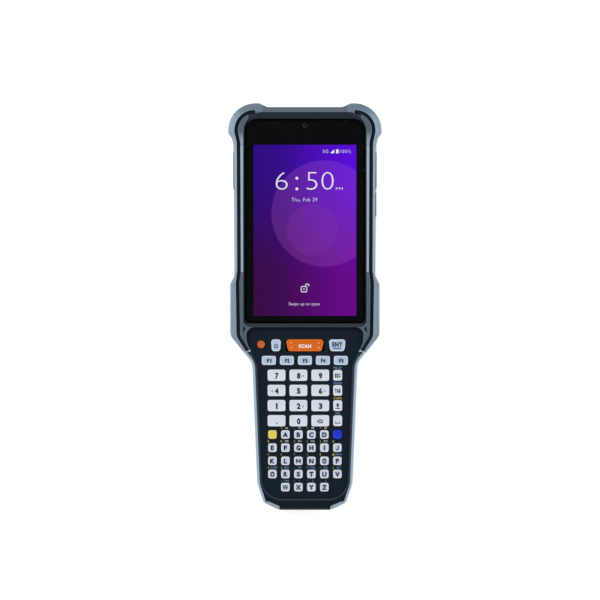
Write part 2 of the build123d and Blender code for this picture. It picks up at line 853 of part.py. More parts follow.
def main_board():
    board = block(
        -main_board_half, main_board_half, main_board_low_y, main_board_top_y,
        main_board_top_z - main_board_thickness, main_board_top_z,
    )
    for side, y, length, reach in side_keys:
        switch_x = rail_x(y) - core_inset - button_block - plunger_reach
        switch_x -= side_button_travel + switch_gap
        x_low, x_high = sorted((side * (switch_x - switch_depth), side * switch_x))
        for spot_y in {y - reach, y + reach}:
            board += block(
                x_low, x_high, spot_y - switch_length / 2, spot_y + switch_length / 2,
                main_board_top_z - fit_gap, main_board_top_z + switch_height,
            )
    for x, y in shield_spots:
        can = Pos(x, y, main_board_top_z + shield_height / 2 - fit_gap)
        board += can * Box(shield_width, shield_length, shield_height)
    return board


# ---------------------------------------------------------------- front housing
def front_housing():
    housing = column(inset(bumper_plan, core_inset), split_z, deck_z)
    rise_z = deck_z - 2 * fit_gap       # what stands on the deck starts just inside it
    ridge = column(inset(panel_plan, -ridge_width), rise_z, deck_z + ridge_height)
    housing += ridge & block(-far, far, -far, ridge_top_y - fit_gap, 0, far)
    heel_top_z = deck_z + heel_zone_rise
    heel_plan = inset(bumper_plan, trim_top_wall + fit_gap)
    heel_zone = column(heel_plan, rise_z, heel_top_z)
    housing += heel_zone & block(-far, far, -far, heel_zone_y, 0, far)
    housing &= under_front
    housing += heel_block(split_z, heel_top_z)
    housing -= column(panel_plan, deck_z, far)
    hollow = column(hollow_plan, split_z, deck_low_z)
    hollow &= Pos(0, housing_wall, -deck_thickness) * under_front
    for side, y, length, reach in side_keys:
        wall_x = rail_x(y) - core_inset
        half_y = length / 2 + button_flange + housing_wall
        thick = side_block(side, y, half_y, far, wall_x - button_block, far)
        hollow -= thick
    for side in (-1, 1):
        for y in rib_spots:
            half = hollow_half(y) - rib_depth
            x_low, x_high = sorted((side * half, side * far))
            hollow -= block(
                x_low, x_high, y - rib_length / 2, y + rib_length / 2,
                board_top_z + fit_gap, far,
            )
    housing -= hollow - bosses()
    openings = [key_opening(*spot) for spot in key_spots]
    openings += [side_pocket(*spot) for spot in side_keys]
    openings.append(block(
        -lcd_half - lcd_gap, lcd_half + lcd_gap, lcd_low_y - lcd_gap, lcd_top_y + lcd_gap,
        deck_low_z - 1, far,
    ))
    barrel_hole = Circle(barrel_radius + slide_gap)
    openings.append(column(Pos(0, front_camera_y) * barrel_hole, deck_low_z - 1, far))
    return housing - openings


def hollow_half(y):
    """Half width of the handle's hollow."""
    share = (y - heel_y) / (neck_y - heel_y)
    return heel_half + share * (neck_half - heel_half) - hollow_inset


def bosses():
    """Square bosses in both housings, which the screws hold together."""
    half = boss_half
    return [block(x - half, x + half, y - half, y + half, 0, far) for x, y in screw_spots]


def screw_recesses():
    """Recesses in the back for the heads of the housing screws."""
    recess = Circle(screw_recess_radius)
    return [column(Pos(x, y) * recess, -1, screw_seat_z) for x, y in screw_spots]


# ---------------------------------------------------------------- rear housing
def bay_plan(margin):
    """Outline of the battery, made wider by margin."""
    height = battery_top_y - battery_low_y
    face = RectangleRounded(
        2 * battery_half + 2 * margin, height + 2 * margin, battery_radius + margin
    )
    return Pos(0, (battery_top_y + battery_low_y) / 2) * face


def rear_housing():
    core = inset(bumper_plan, core_inset)
    form = tub_form(0) + column(core, tub_z, split_z) + heel_block(tub_z, split_z)
    hollow = column(hollow_plan, 0, split_z) & Pos(0, 0, back_wall) * over_back
    frame_half = window_half + window_frame_margin
    kept = [
        column(bay_plan(bay_gap + bay_wall), 0, bay_roof_z + bay_wall),
        block(-latch_block_half, latch_block_half, battery_top_y, latch_block_top_y, 0,
              latch_block_z),
        block(-far, far, -far, battery_low_y - bay_gap, 0, heel_floor_z),
        block(-frame_half, frame_half, window_frame_y, far, 0, far),
    ]
    return form - (hollow - kept - bosses() - cradle()) - rear_openings()


def cradle():
    """Two ribs that carry the scan engine."""
    low_y = engine_top_y - engine_depth + engine_gap
    rib = block(cradle_x, cradle_x + cradle_width, low_y, engine_top_y - engine_gap, 0,
                engine_low_z - fit_gap)
    return both_sides(rib)


def rear_openings():
    openings = [column(bay_plan(bay_gap), -5, bay_roof_z)]
    openings += screw_recesses() + latch_openings() + window_openings() + strap_openings()
    openings += contact_boxes(fit_gap)
    recess = Circle(camera_window_radius + fit_gap)
    lens = Circle(barrel_radius + slide_gap)
    spot = Pos(rear_camera_x, rear_camera_y)
    openings.append(column(spot * recess, -1, camera_window_thickness + 2 * fit_gap))
    openings.append(column(spot * lens, -1, rear_camera_z + 1))
    half = camera_size / 2 + slide_gap
    openings.append(spot * Pos(0, 0, rear_camera_z - fit_gap) * Box(
        2 * half, 2 * half, camera_height, align=(Align.CENTER, Align.CENTER, Align.MIN)
    ))
    for number in range(slot_count):
        y = speaker_y + (number - (slot_count - 1) / 2) * slot_pitch
        openings.append(block(
            speaker_x - slot_length / 2, speaker_x + slot_length / 2,
            y - slot_width / 2, y + slot_width / 2, -1, back_wall + 1,
        ))
    return openings


def latch_openings():
    """Recess for the latch's plate and T-shaped way for its tongue."""
    low_y = latch_top_y - latch_length - latch_travel - slide_gap
    recess_half = latch_half + slide_gap
    stalk_half = stalk_width / 2 + slide_gap
    top_y = latch_top_y + slide_gap
    way_half = tongue_half + slide_gap
    return [
        block(-recess_half, recess_half, low_y, top_y, -5, latch_top_z + slide_gap),
        block(-stalk_half, stalk_half, battery_top_y - 1, top_y, 5, tongue_low_z),
        block(-way_half, way_half, battery_top_y - 1, top_y, tongue_low_z - slide_gap,
              tongue_low_z + tongue_thickness + slide_gap),
    ]


def window_openings():
    x, low, top = window_half + fit_gap, window_low_z - fit_gap, window_top_z + fit_gap
    ledge = window_rebate
    rebate_y = core_end_y - window_sink - window_thickness - fit_gap
    return [
        block(-x, x, rebate_y, far, low, top),
        block(ledge - x, x - ledge, window_frame_y - 1, far, low + ledge, top - ledge),
    ]


def strap_openings():
    half = strap_slot_half
    bore = Circle(strap_bar_radius + fit_gap)
    length = strap_bar_half + fit_gap
    place = Pos(0, strap_bar_y, strap_bar_z)
    return [
        block(-half, half, -far, strap_slot_y, -5, strap_slot_top_z),
        place * extrude(Plane.YZ * bore, length, both=True),
    ]


def contact_boxes(gap):
    """Battery contacts through the bay's roof and dock contacts through the heel."""
    half_x = contact_width / 2 + gap
    half_t = contact_thickness / 2 + gap
    boxes = []
    for number in range(contact_count):
        x = (number - (contact_count - 1) / 2) * contact_pitch
        low_z = battery_top_z + fit_gap
        boxes.append(block(
            x - half_x, x + half_x, contact_y - half_t, contact_y + half_t,
            low_z - gap, low_z + contact_length + gap,
        ))
        low_y = dock_contact_y
        boxes.append(block(
            x - half_x, x + half_x, low_y - gap, low_y + contact_length + gap,
            dock_contact_z - half_t, dock_contact_z + half_t,
        ))
    return boxes


# ---------------------------------------------------------------- smaller pieces
def battery_pack():
    pack = column(bay_plan(0), -5, battery_top_z)
    skin = tub_form(battery_skin_drop) + block(-far, far, -far, far, tub_z, far)
    pack &= skin
    notch = tongue_half + notch_gap
    return pack - block(
        -notch, notch, battery_top_y - notch_depth, far, tongue_low_z - notch_gap,
        tongue_low_z + tongue_thickness + notch_gap,
    )


def battery_latch():
    low_y = latch_top_y - latch_length
    plate = block(-latch_half, latch_half, low_y, latch_top_y, latch_low_z, latch_top_z)
    for number in range(grip_count):
        y = latch_top_y - grip_start - number * grip_pitch
        plate -= block(-grip_half, grip_half, y - grip_width, y, 0, latch_low_z + grip_depth)
    stalk = block(
        -stalk_width / 2, stalk_width / 2, low_y, latch_top_y - latch_shoulder,
        latch_top_z - fit_gap, tongue_low_z + fit_gap,
    )
    tongue = block(
        -tongue_half, tongue_half, tongue_tip_y, latch_top_y - latch_shoulder,
        tongue_low_z, tongue_low_z + tongue_thickness,
    )
    return plate + stalk + tongue


def scan_window():
    top_y = core_end_y - window_sink
    return block(
        -window_half, window_half, top_y - window_thickness, top_y,
        window_low_z, window_top_z,
    )


def scan_engine():
    low_y = engine_top_y - engine_depth
    body = block(
        -engine_half, engine_half, low_y, engine_top_y, engine_low_z,
        engine_low_z + engine_height,
    )
    return chamfer(body.edges().filter_by(Axis.Y), engine_chamfer)


def camera_module():
    """Camera with its barrel up, standing on the frame's origin."""
    body = Pos(0, 0, camera_height / 2) * Box(camera_size, camera_size, camera_height)
    barrel = Circle(barrel_radius)
    return body + column(barrel, camera_height - fit_gap, camera_height + barrel_length)


def camera_modules():
    front = Pos(0, front_camera_y, deck_low_z - fit_gap - camera_height) * camera_module()
    rear = Pos(rear_camera_x, rear_camera_y, rear_camera_z + camera_height)
    return [front, rear * Rot(180, 0, 0) * camera_module()]


def camera_window():
    disc = Pos(rear_camera_x, rear_camera_y) * Circle(camera_window_radius)
    return column(disc, fit_gap, fit_gap + camera_window_thickness)


def loudspeaker():
    disc = Pos(speaker_x, speaker_y) * Circle(speaker_radius)
    return column(disc, back_wall + fit_gap, back_wall + fit_gap + speaker_height)


def strap_bar():
    bar = Plane.YZ * Circle(strap_bar_radius)
    return Pos(0, strap_bar_y, strap_bar_z) * extrude(bar, strap_bar_half, both=True)


# ---------------------------------------------------------------- export
def pieces():
    trims, shoulders, rails, top = bumper_pieces()
    table = {
        "front_housing": [front_housing()],
        "rear_housing": [rear_housing()],
        "top_bumper": top,
        "side_rails": rails,
        "shoulder_bumpers": shoulders,
        "handle_trims": trims,
        "groove_inlays": groove_inlays(),
        "display_bezel": [display_bezel()],
        "display_window": [display_window()],
        "lcd_module": [lcd_module()],
        "chassis_frame": [chassis_frame()],
        "main_board": [main_board()],
        "keypad_board": [keypad_board()],
        "key_mat": [key_mat()],
        "scan_window": [scan_window()],
        "scan_engine": [scan_engine()],
        "camera_modules": camera_modules(),
        "camera_window": [camera_window()],
        "loudspeaker": [loudspeaker()],
        "contact_blades": contact_boxes(0),
        "strap_bar": [strap_bar()],
        "battery_pack": [battery_pack()],
        "battery_latch": [battery_latch()],
    }
    for name, spot in zip(("side_scan_key_left", "side_scan_key_right", "volume_rocker"),
                          side_keys):
        table[name] = [side_key(*spot)]
    for name, spots in key_table.items():
        table[name] = [key_solid(*spot) for spot in spots]
    return table


os.makedirs("parts", exist_ok=True)
for name, solids in pieces().items():
    export_step(Compound(list(solids)), f"parts/{name}.step")
    print(name, len(solids))
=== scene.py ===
# %% [markdown]
# # A rugged barcode terminal, dressed for a product picture
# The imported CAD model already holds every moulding, key and board at its real size.
# This lesson gives each piece its finish: soft grey bumpers, dark textured housings,
# rounded keys with printed legends, and a lit display under black-edged glass.
# Everything is in metres and stands where the CAD puts it.

# %% Load the frame
import json
import math

import bmesh
import bpy
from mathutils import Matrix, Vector

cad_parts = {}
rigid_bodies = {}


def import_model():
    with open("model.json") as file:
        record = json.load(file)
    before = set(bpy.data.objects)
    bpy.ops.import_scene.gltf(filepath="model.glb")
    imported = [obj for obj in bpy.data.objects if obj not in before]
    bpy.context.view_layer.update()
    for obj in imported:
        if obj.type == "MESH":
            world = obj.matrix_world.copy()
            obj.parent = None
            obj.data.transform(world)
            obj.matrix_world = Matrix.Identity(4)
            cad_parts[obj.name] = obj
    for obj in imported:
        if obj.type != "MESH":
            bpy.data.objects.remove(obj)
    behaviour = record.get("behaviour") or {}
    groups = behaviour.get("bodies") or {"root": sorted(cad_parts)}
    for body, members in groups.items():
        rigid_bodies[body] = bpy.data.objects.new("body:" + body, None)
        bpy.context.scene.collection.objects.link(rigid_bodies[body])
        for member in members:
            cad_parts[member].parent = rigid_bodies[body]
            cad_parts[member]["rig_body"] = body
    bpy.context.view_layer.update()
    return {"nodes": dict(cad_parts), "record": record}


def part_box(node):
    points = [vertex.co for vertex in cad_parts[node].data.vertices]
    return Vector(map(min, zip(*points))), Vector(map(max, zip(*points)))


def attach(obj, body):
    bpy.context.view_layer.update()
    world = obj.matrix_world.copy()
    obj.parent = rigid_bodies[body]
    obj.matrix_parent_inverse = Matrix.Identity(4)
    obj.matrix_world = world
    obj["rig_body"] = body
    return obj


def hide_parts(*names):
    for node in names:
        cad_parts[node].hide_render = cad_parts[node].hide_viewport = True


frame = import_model()
nodes = frame["nodes"]
frame_slots = {part["node"]: part["material_slot"] for part in frame["record"]["subparts"]}
MM = 0.001
MAIN = "terminal_body"

# %% [markdown]
# ## Small helpers for shader nodes
# A material is a graph. These helpers add one node at a time and wire it up, so that
# each finish below reads as a short recipe instead of a page of links. A value may be a
# plain number, a colour or the output of another node.

# %% Node helpers
def linear(red, green, blue):
    """A colour picked as 0-255 screen values, as the linear values that shaders use."""
    def channel(value):
        share = value / 255
        return share / 12.92 if share <= 0.04045 else ((share + 0.055) / 1.055) ** 2.4
    return (channel(red), channel(green), channel(blue), 1.0)


def feed(tree, node, inputs):
    """Gives inputs, by name or number, a constant or the output of another node."""
    for socket, value in inputs.items():
        if isinstance(value, (int, float, tuple)):
            node.inputs[socket].default_value = value
        else:
            tree.links.new(value, node.inputs[socket])


def add_node(tree, kind, inputs=None, **settings):
    node = tree.nodes.new(kind)
    for name, value in settings.items():
        setattr(node, name, value)
    feed(tree, node, inputs or {})
    return node


def math_node(tree, operation, *values):
    inputs = dict(enumerate(values))
    return add_node(tree, "ShaderNodeMath", inputs, operation=operation).outputs[0]


def mix_colour(tree, factor, first, second):
    """Colour mix: factor 0 gives first and 1 gives second."""
    inputs = {0: factor, 6: first, 7: second}       # 6 and 7 are its sockets for colours
    return add_node(tree, "ShaderNodeMix", inputs, data_type="RGBA").outputs[2]


def smooth_step(tree, value, low, high):
    """0 below low, 1 above high, and a soft ramp between."""
    inputs = {0: value, 1: low, 2: high}
    node = add_node(tree, "ShaderNodeMapRange", inputs, interpolation_type="SMOOTHSTEP")
    return node.outputs[0]


print("white stays white:", linear(255, 255, 255))

# %% [markdown]
# ## Places on the part
# A finish that changes from place to place has to know where a point is. Object
# coordinates stay with the piece when it moves, so a pattern made from them never
# slides. The terminal's two sides are alike, so most paint asks only how far a point is
# from the middle line.

# %% Place helpers
def object_place(tree):
    return add_node(tree, "ShaderNodeTexCoord").outputs["Object"]


def split_vector(tree, vector):
    return add_node(tree, "ShaderNodeSeparateXYZ", {0: vector}).outputs


def coordinates(tree):
    """x, y and z of the shaded point, in millimetres."""
    return [math_node(tree, "MULTIPLY", metres, 1 / MM)
            for metres in split_vector(tree, object_place(tree))]


def from_middle(tree):
    """Distance from the middle line, and y, of the shaded point, in millimetres."""
    x, y, _ = coordinates(tree)
    return math_node(tree, "ABSOLUTE", x), y


def length(tree, across, up):
    """Length of the straight way that goes so far across and so far up."""
    squares = [math_node(tree, "MULTIPLY", part, part) for part in (across, up)]
    return math_node(tree, "SQRT", math_node(tree, "ADD", *squares))


def noise(tree, scale, detail=2.0):
    """Soft noise from 0 to 1 that stays with the piece."""
    inputs = {"Vector": object_place(tree), "Scale": scale, "Detail": detail}
    return add_node(tree, "ShaderNodeTexNoise", inputs).outputs[0]


print("millimetres in a metre:", 1 / MM)

# %% [markdown]
# ## Shared effect one: moulded plastic
# Injection-moulded plastic is never one flat colour. Its mould is spark-eroded, which
# leaves a fine grain, and the colour drifts a little from place to place. Both effects
# are used by most finishes here, so they live in one node group with named inputs. The
# group gives out values only; the shader itself stays in each material.

# %% The moulded plastic group
DRIFT_SCALE, DRIFT_DETAIL = 45.0, 3.0
DRIFT_IN_ROUGHNESS = 0.16
NUMBER, COLOUR = "NodeSocketFloat", "NodeSocketColor"


def new_group(name, inputs, outputs):
    """Shader node group with (name, type, default) inputs and (name, type) outputs."""
    tree = bpy.data.node_groups.new(name, "ShaderNodeTree")
    for label, kind, value in inputs:
        tree.interface.new_socket(label, in_out="INPUT", socket_type=kind).default_value = value
    for label, kind in outputs:
        tree.interface.new_socket(label, in_out="OUTPUT", socket_type=kind)
    return tree, add_node(tree, "NodeGroupInput"), add_node(tree, "NodeGroupOutput")


def build_moulded_group():
    tree, given, result = new_group(
        "moulded_plastic",
        (("Colour", COLOUR, (0.5, 0.5, 0.5, 1)), ("Drift", NUMBER, 0.06),
         ("Grain Size", NUMBER, 0.4 * MM), ("Roughness", NUMBER, 0.55)),
        (("Colour", COLOUR), ("Roughness", NUMBER), ("Height", NUMBER)),
    )
    grains = math_node(tree, "DIVIDE", 1.0, given.outputs["Grain Size"])
    grain = add_node(tree, "ShaderNodeTexVoronoi", {"Vector": object_place(tree), "Scale": grains})
    centred = math_node(tree, "SUBTRACT", noise(tree, DRIFT_SCALE, DRIFT_DETAIL), 0.5)
    amount = math_node(tree, "MULTIPLY", centred, given.outputs["Drift"])
    brighten = add_node(tree, "ShaderNodeHueSaturation", {
        "Color": given.outputs["Colour"], "Value": math_node(tree, "ADD", amount, 1.0),
    })
    uneven = math_node(tree, "MULTIPLY", centred, DRIFT_IN_ROUGHNESS)
    feed(tree, result, {
        "Colour": brighten.outputs[0],
        "Roughness": math_node(tree, "ADD", given.outputs["Roughness"], uneven),
        "Height": grain.outputs["Distance"],
    })
    return tree


moulded_group = build_moulded_group()
print("moulded group:", [item.name for item in moulded_group.interface.items_tree])

# %% [markdown]
# ## Shared effect two: rubbed edges
# Handling polishes the edges of a soft-touch moulding a shade lighter than its faces,
# and the same lightening is a painted highlight for the light that rounded edges catch.
# A Bevel node rounds the normal near an edge; where that normal leaves the surface's
# own one, there is an edge. The group turns the difference into a mask from 0 to 1.

# %% The edge mask group
def build_edge_group():
    tree, given, result = new_group(
        "rubbed_edge_highlight", (("Width", NUMBER, 0.8 * MM), ("Gain", NUMBER, 4.0)), (("Edge", NUMBER),)
    )
    soft = add_node(tree, "ShaderNodeBevel", {"Radius": given.outputs["Width"]}, samples=4)
    own = add_node(tree, "ShaderNodeNewGeometry").outputs["Normal"]
    normals = {0: soft.outputs[0], 1: own}
    match = add_node(tree, "ShaderNodeVectorMath", normals, operation="DOT_PRODUCT")
    away = math_node(tree, "SUBTRACT", 1.0, match.outputs["Value"])
    strong = math_node(tree, "MULTIPLY", away, given.outputs["Gain"])
    feed(tree, result, {"Edge": math_node(tree, "MINIMUM", strong, 1.0)})
    return tree


edge_group = build_edge_group()
print("edge group:", [item.name for item in edge_group.interface.items_tree])

# %% [markdown]
# ## Material makers
# Two makers cover most of the terminal: a bare one, and one for moulded plastic that
# places the groups above. A paint function may choose the colour by where a point is,
# and an edge amount says how much lighter the edges are painted, for rubbed wear and as
# a painted highlight.

# %% Material makers
GRAIN_RELIEF = 0.05 * MM
WHITE = (1.0, 1.0, 1.0, 1.0)


def new_material(name, metallic=0.0, **constants):
    """Material with only its Principled shader; constants are set on its own sockets."""
    material = bpy.data.materials.new(name)
    material.use_nodes = True
    shader = material.node_tree.nodes["Principled BSDF"]
    shader.inputs["Metallic"].default_value = metallic
    for socket, value in constants.items():
        shader.inputs[socket.replace("_", " ")].default_value = value
    return material, material.node_tree, shader


def moulded(name, colour, roughness=0.55, grain=0.4 * MM, depth=0.1, drift=0.08, paint=None,
            edge=0.0, **constants):
    """Moulded plastic. paint, if given, returns a colour socket in place of the flat colour."""
    material, tree, shader = new_material(name, **constants)
    painted = paint(tree, colour) if paint else colour
    # edge lightening: partly rubbed wear, partly a painted highlight
    if edge:
        mask = add_node(tree, "ShaderNodeGroup", node_tree=edge_group).outputs["Edge"]
        lighter = mix_colour(tree, edge, painted, WHITE)
        painted = mix_colour(tree, mask, painted, lighter)
    inputs = {"Colour": painted, "Drift": drift, "Grain Size": grain, "Roughness": roughness}
    group = add_node(tree, "ShaderNodeGroup", inputs, node_tree=moulded_group)
    bump = add_node(tree, "ShaderNodeBump", {
        "Strength": depth, "Distance": GRAIN_RELIEF, "Height": group.outputs["Height"],
    })
    feed(tree, shader, {
        "Base Color": group.outputs["Colour"], "Roughness": group.outputs["Roughness"],
        "Normal": bump.outputs[0],
    })
    return material


def dress(material, *names):
    """Sets the finish of whole CAD nodes."""
    for name in names:
        slots = nodes[name].material_slots
        for slot in slots:
            slot.material = material
        if not slots:
            nodes[name].data.materials.append(material)


print("grain relief, mm:", GRAIN_RELIEF / MM)

# %% [markdown]
# ## Bumper colours
# The frame of the terminal is soft-touch grey plastic. The corner and side pieces are
# pale. The inner band beside the display, which runs along the corners and the
# shoulders, is darker; on the corners, painted shade darkens it further towards the top,
# where it turns away from the light. The tips of the two horns and the straight bridge
# between them are painted shade, for curved tops that face away from the light. Each
# paint function below finds its place from the point's own position.

# %% Bumper colours and lines
CORNER_GREY = linear(151, 175, 196)
RAIL_GREY = linear(165, 182, 199)
SHOULDER_GREY = linear(138, 156, 176)
TRIM_GREY = linear(166, 191, 214)
# BAND_GREY is the shoulders' inner band, and painted shade on the corners' inner band towards the
# top
BAND_GREY = linear(80, 97, 111)
# painted shade on the bridge and on the horn tips, whose curved tops face away from the light
BRIDGE_SHADE_GREY = linear(88, 105, 120)
INNER_GREY = linear(146, 163, 180)
CORNER_X, CORNER_Y, CORNER_BAND = 27.2, 96.8, 9.9       # millimetres, as all of these lines
BAND_TOP_Y, BAND_LOW_Y = 97.0, 90.0
BRIDGE_END, BRIDGE_FADE = 25.5, 22.5
# HORN_SHADE_SHARE is how much painted shade the horn tips take
HORN_LOW_Y, HORN_TOP_Y, HORN_SHADE_SHARE = 101.0, 109.0, 0.75
SHOULDER_SLANT, SHOULDER_REACH, SHOULDER_LINE = 0.63, 46.4, 36.6
LINE_BLUR = 0.1


def past(tree, value, limit, blur=LINE_BLUR):
    """0 below a limit and 1 above it, blurred only enough to keep the line smooth."""
    return smooth_step(tree, value, limit - blur, limit + blur)


def paint_corner(tree, colour):
    """Painted shade on the bridge, the horn tips and the inner band's top; pale elsewhere. The
    band's shade fades down the side.
    """
    x, y = from_middle(tree)
    across = math_node(tree, "MAXIMUM", math_node(tree, "SUBTRACT", x, CORNER_X), 0.0)
    up = math_node(tree, "MAXIMUM", math_node(tree, "SUBTRACT", y, CORNER_Y), 0.0)
    depth = math_node(tree, "SUBTRACT", CORNER_BAND, length(tree, across, up))
    # painted shade: the corners' inner band darkens towards the top, where it turns away from the
    # light
    fade = smooth_step(tree, y, BAND_LOW_Y, BAND_TOP_Y)
    band = mix_colour(tree, fade, INNER_GREY, BAND_GREY)
    # painted shade on the bridge and on the horn tips
    bridge_shade = smooth_step(tree, math_node(tree, "MULTIPLY", x, -1.0), -BRIDGE_END, -BRIDGE_FADE)
    tip_shade = math_node(tree, "MULTIPLY", smooth_step(tree, y, HORN_LOW_Y, HORN_TOP_Y), HORN_SHADE_SHARE)
    outside = mix_colour(tree, math_node(tree, "MAXIMUM", bridge_shade, tip_shade), colour, BRIDGE_SHADE_GREY)
    return mix_colour(tree, past(tree, depth, 0.0), outside, band)


def paint_shoulder(tree, colour):
    """Pale outside the groove, dark grey between the groove and the display."""
    x, y = from_middle(tree)
    slanted = math_node(tree, "MULTIPLY_ADD", y, SHOULDER_SLANT, SHOULDER_REACH)
    line = math_node(tree, "MINIMUM", slanted, SHOULDER_LINE)
    inner = past(tree, math_node(tree, "SUBTRACT", line, x), 0.0)
    return mix_colour(tree, inner, colour, BAND_GREY)


print("inner band reaches, mm:", round(CORNER_X + CORNER_BAND, 1), SHOULDER_LINE)

# %% [markdown]
# ## Bumper finishes
# The four kinds of bumper are one soft-touch plastic in four greys, so they share their
# gloss and their lighter edges, rubbed wear with a painted highlight. The inlay in their
# groove is dark and matt.

# %% Bumper finishes
# edge: lighter edges, rubbed wear with a painted highlight
SOFT_TOUCH = {"Specular_IOR_Level": 0.35, "edge": 0.16}
corner_finish = moulded("bumper_corner_grey", CORNER_GREY, 0.6, paint=paint_corner, **SOFT_TOUCH)
rail_finish = moulded("bumper_rail_grey", RAIL_GREY, 0.58, **SOFT_TOUCH)
shoulder_finish = moulded("bumper_shoulder_grey", SHOULDER_GREY, 0.6, paint=paint_shoulder,
                          **SOFT_TOUCH)
trim_finish = moulded("bumper_trim_grey", TRIM_GREY, 0.55, **SOFT_TOUCH)
# dark matt inlay in the bumpers' groove
inlay_finish = moulded("inlay_dark_matt", linear(18, 32, 44), 0.75, grain=0.3 * MM,
                       Specular_IOR_Level=0.2)
dress(inlay_finish, "groove_inlays")
print("bumper finishes:", len([m for m in bpy.data.materials if m.name.startswith("bumper")]))

# %% [markdown]
# ## Housing colours
# The housings are blue-black, spark-eroded polycarbonate. The bezel under the glass is as
# dark, but has a lighter band above the display and a lighter lip below it. The front
# housing's ridge round the keypad is painted lighter as a highlight, and its sloped heel
# is painted shade, the darkest place.

# %% Housing colours and lines
BEZEL_DARK = linear(24, 32, 40)
BEZEL_BAND = linear(40, 50, 61)
LIP_GREY = linear(53, 63, 71)
# painted shade on the sloped heel, which faces away from the light
HEEL_SHADE_BLACK = linear(14, 28, 40)
# painted highlight along the ridge round the keypad
RIDGE_HIGHLIGHT_GREY = linear(42, 57, 68)
BAND_START, BAND_FADE = 101.0, 2.0          # millimetres above the middle
LIP_START, LIP_FADE = 9.0, 0.6              # below the middle, as the next two
RIDGE_START, RIDGE_FADE = 24.0, 4.0
HEEL_START, HEEL_FADE = 103.5, 2.5
RIDGE_Z = 35.45


def fade_in(tree, value, start, fade):
    return smooth_step(tree, value, start, start + fade)


def paint_bezel(tree, colour):
    """The band over the glass and the lip under it are lighter than the sides."""
    _, y, _ = coordinates(tree)
    down = math_node(tree, "MULTIPLY", y, -1.0)
    lip = mix_colour(tree, fade_in(tree, down, LIP_START, LIP_FADE), colour, LIP_GREY)
    return mix_colour(tree, fade_in(tree, y, BAND_START, BAND_FADE), lip, BEZEL_BAND)


def paint_housing(tree, colour):
    """The ridge round the keypad gets a painted highlight, and the sloped heel painted shade."""
    _, y, z = coordinates(tree)
    down = math_node(tree, "MULTIPLY", y, -1.0)
    # painted shade on the heel
    face = mix_colour(tree, fade_in(tree, down, HEEL_START, HEEL_FADE), colour, HEEL_SHADE_BLACK)
    handle = fade_in(tree, down, RIDGE_START, RIDGE_FADE)
    # painted highlight on the ridge
    ridge = math_node(tree, "MULTIPLY", past(tree, z, RIDGE_Z), handle)
    return mix_colour(tree, ridge, face, RIDGE_HIGHLIGHT_GREY)


print("ridge, lip and heel start, mm:", RIDGE_START, LIP_START, HEEL_START)

# %% [markdown]
# ## Housing finishes
# Spark erosion leaves a deeper grain than the bumpers have, and almost no shine. The
# latch and the side keys are smoother and grey, but as dull. Inner pieces are hidden,
# but each has an honest finish of its own, as the part may be opened.

# %% Housing and inner finishes
SPARK = {"Specular_IOR_Level": 0.08}
front_finish = moulded("front_housing_black", linear(26, 37, 47), 0.78, grain=0.5 * MM,
                       depth=0.25, edge=0.05, paint=paint_housing, Specular_IOR_Level=0.03)
housing_finish = moulded("housing_black", linear(20, 28, 34), 0.68, grain=0.5 * MM,
                         depth=0.25, edge=0.05, **SPARK)
bezel_finish = moulded("bezel_charcoal", BEZEL_DARK, 0.5, paint=paint_bezel, edge=0.05, **SPARK)
battery_finish = moulded("battery_black", linear(20, 27, 33), 0.66, grain=0.6 * MM,
                         depth=0.3, edge=0.03, **SPARK)
latch_finish = moulded("latch_grey", linear(86, 100, 114), 0.5, edge=0.08, **SPARK)
side_key_finish = moulded("side_key_grey", linear(132, 150, 166), 0.5, edge=0.1, **SPARK)
mat_finish = moulded("silicone_black", linear(24, 30, 35), 0.7, **SPARK)
inner_finish = moulded("inner_black", linear(18, 19, 21), 0.45)
board_finish = moulded("board_green", linear(16, 70, 44), 0.35)
dress(mat_finish, "key_mat")
dress(inner_finish, "scan_engine", "camera_modules", "loudspeaker", "lcd_module")
dress(board_finish, "main_board", "keypad_board")
print("finishes so far:", len(bpy.data.materials))

# %% [markdown]
# ## Metal
# The screws and the strap bar are steel, the contacts are gold-plated and the frame
# inside is magnesium. A very fine noise makes both their tone and their gloss uneven.

# %% Metal finishes
METAL_GRAIN = 900.0
METAL_SHADE = 0.8           # how dark the darkest grain is
METAL_UNEVEN = 0.2          # how much rougher the roughest grain is


def metal(name, colour, roughness):
    material, tree, shader = new_material(name, metallic=1.0)
    brushed = noise(tree, METAL_GRAIN)
    shaded = tuple(channel * METAL_SHADE for channel in colour[:3]) + (1.0,)
    rough = math_node(tree, "MULTIPLY", brushed, METAL_UNEVEN)
    feed(tree, shader, {
        "Base Color": mix_colour(tree, brushed, colour, shaded),
        "Roughness": math_node(tree, "ADD", rough, roughness),
    })
    return material


steel = metal("screw_steel", linear(176, 178, 182), 0.22)
gold = metal("contact_gold", linear(214, 178, 96), 0.2)
frame_metal = metal("frame_magnesium", linear(150, 152, 156), 0.4)
dress(gold, "contact_blades")
dress(frame_metal, "chassis_frame")
print("metals:", steel.name, gold.name, frame_metal.name)

# %% [markdown]
# ## Rounded mouldings
# No moulded edge is knife sharp. The CAD solids have their main bevels, and a copy of
# each visible moulding gets the last 0.3 of a millimetre: its loose triangles are
# merged into whole faces, a Bevel modifier rounds what is left sharp, and a Weighted
# Normal modifier keeps the big faces flat in the light. The copy stands for its node.

# %% Rounded copies of the mouldings
EDGE_ROUND, EDGE_SEGMENTS = 0.3 * MM, 3
FLAT_ANGLE = math.radians(1.0)
SHARP_ANGLE = math.radians(28)
SAME_POINT = 0.001 * MM
BIG_FACE_WEIGHT = 90


def body_of_node(node):
    return nodes[node]["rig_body"]


def stand_in(piece, node):
    """The piece rides where the node does and replaces it."""
    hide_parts(node)
    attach(piece, body_of_node(node))


def new_object(name, data):
    """Object of this mesh, curve, lamp or camera, linked to the scene."""
    made = bpy.data.objects.new(name, data)
    bpy.context.scene.collection.objects.link(made)
    return made


def plain_mesh(carrier):
    """The object with its modifiers worked out, as a mesh of its own."""
    worked_out = carrier.evaluated_get(bpy.context.evaluated_depsgraph_get())
    return bpy.data.meshes.new_from_object(worked_out)


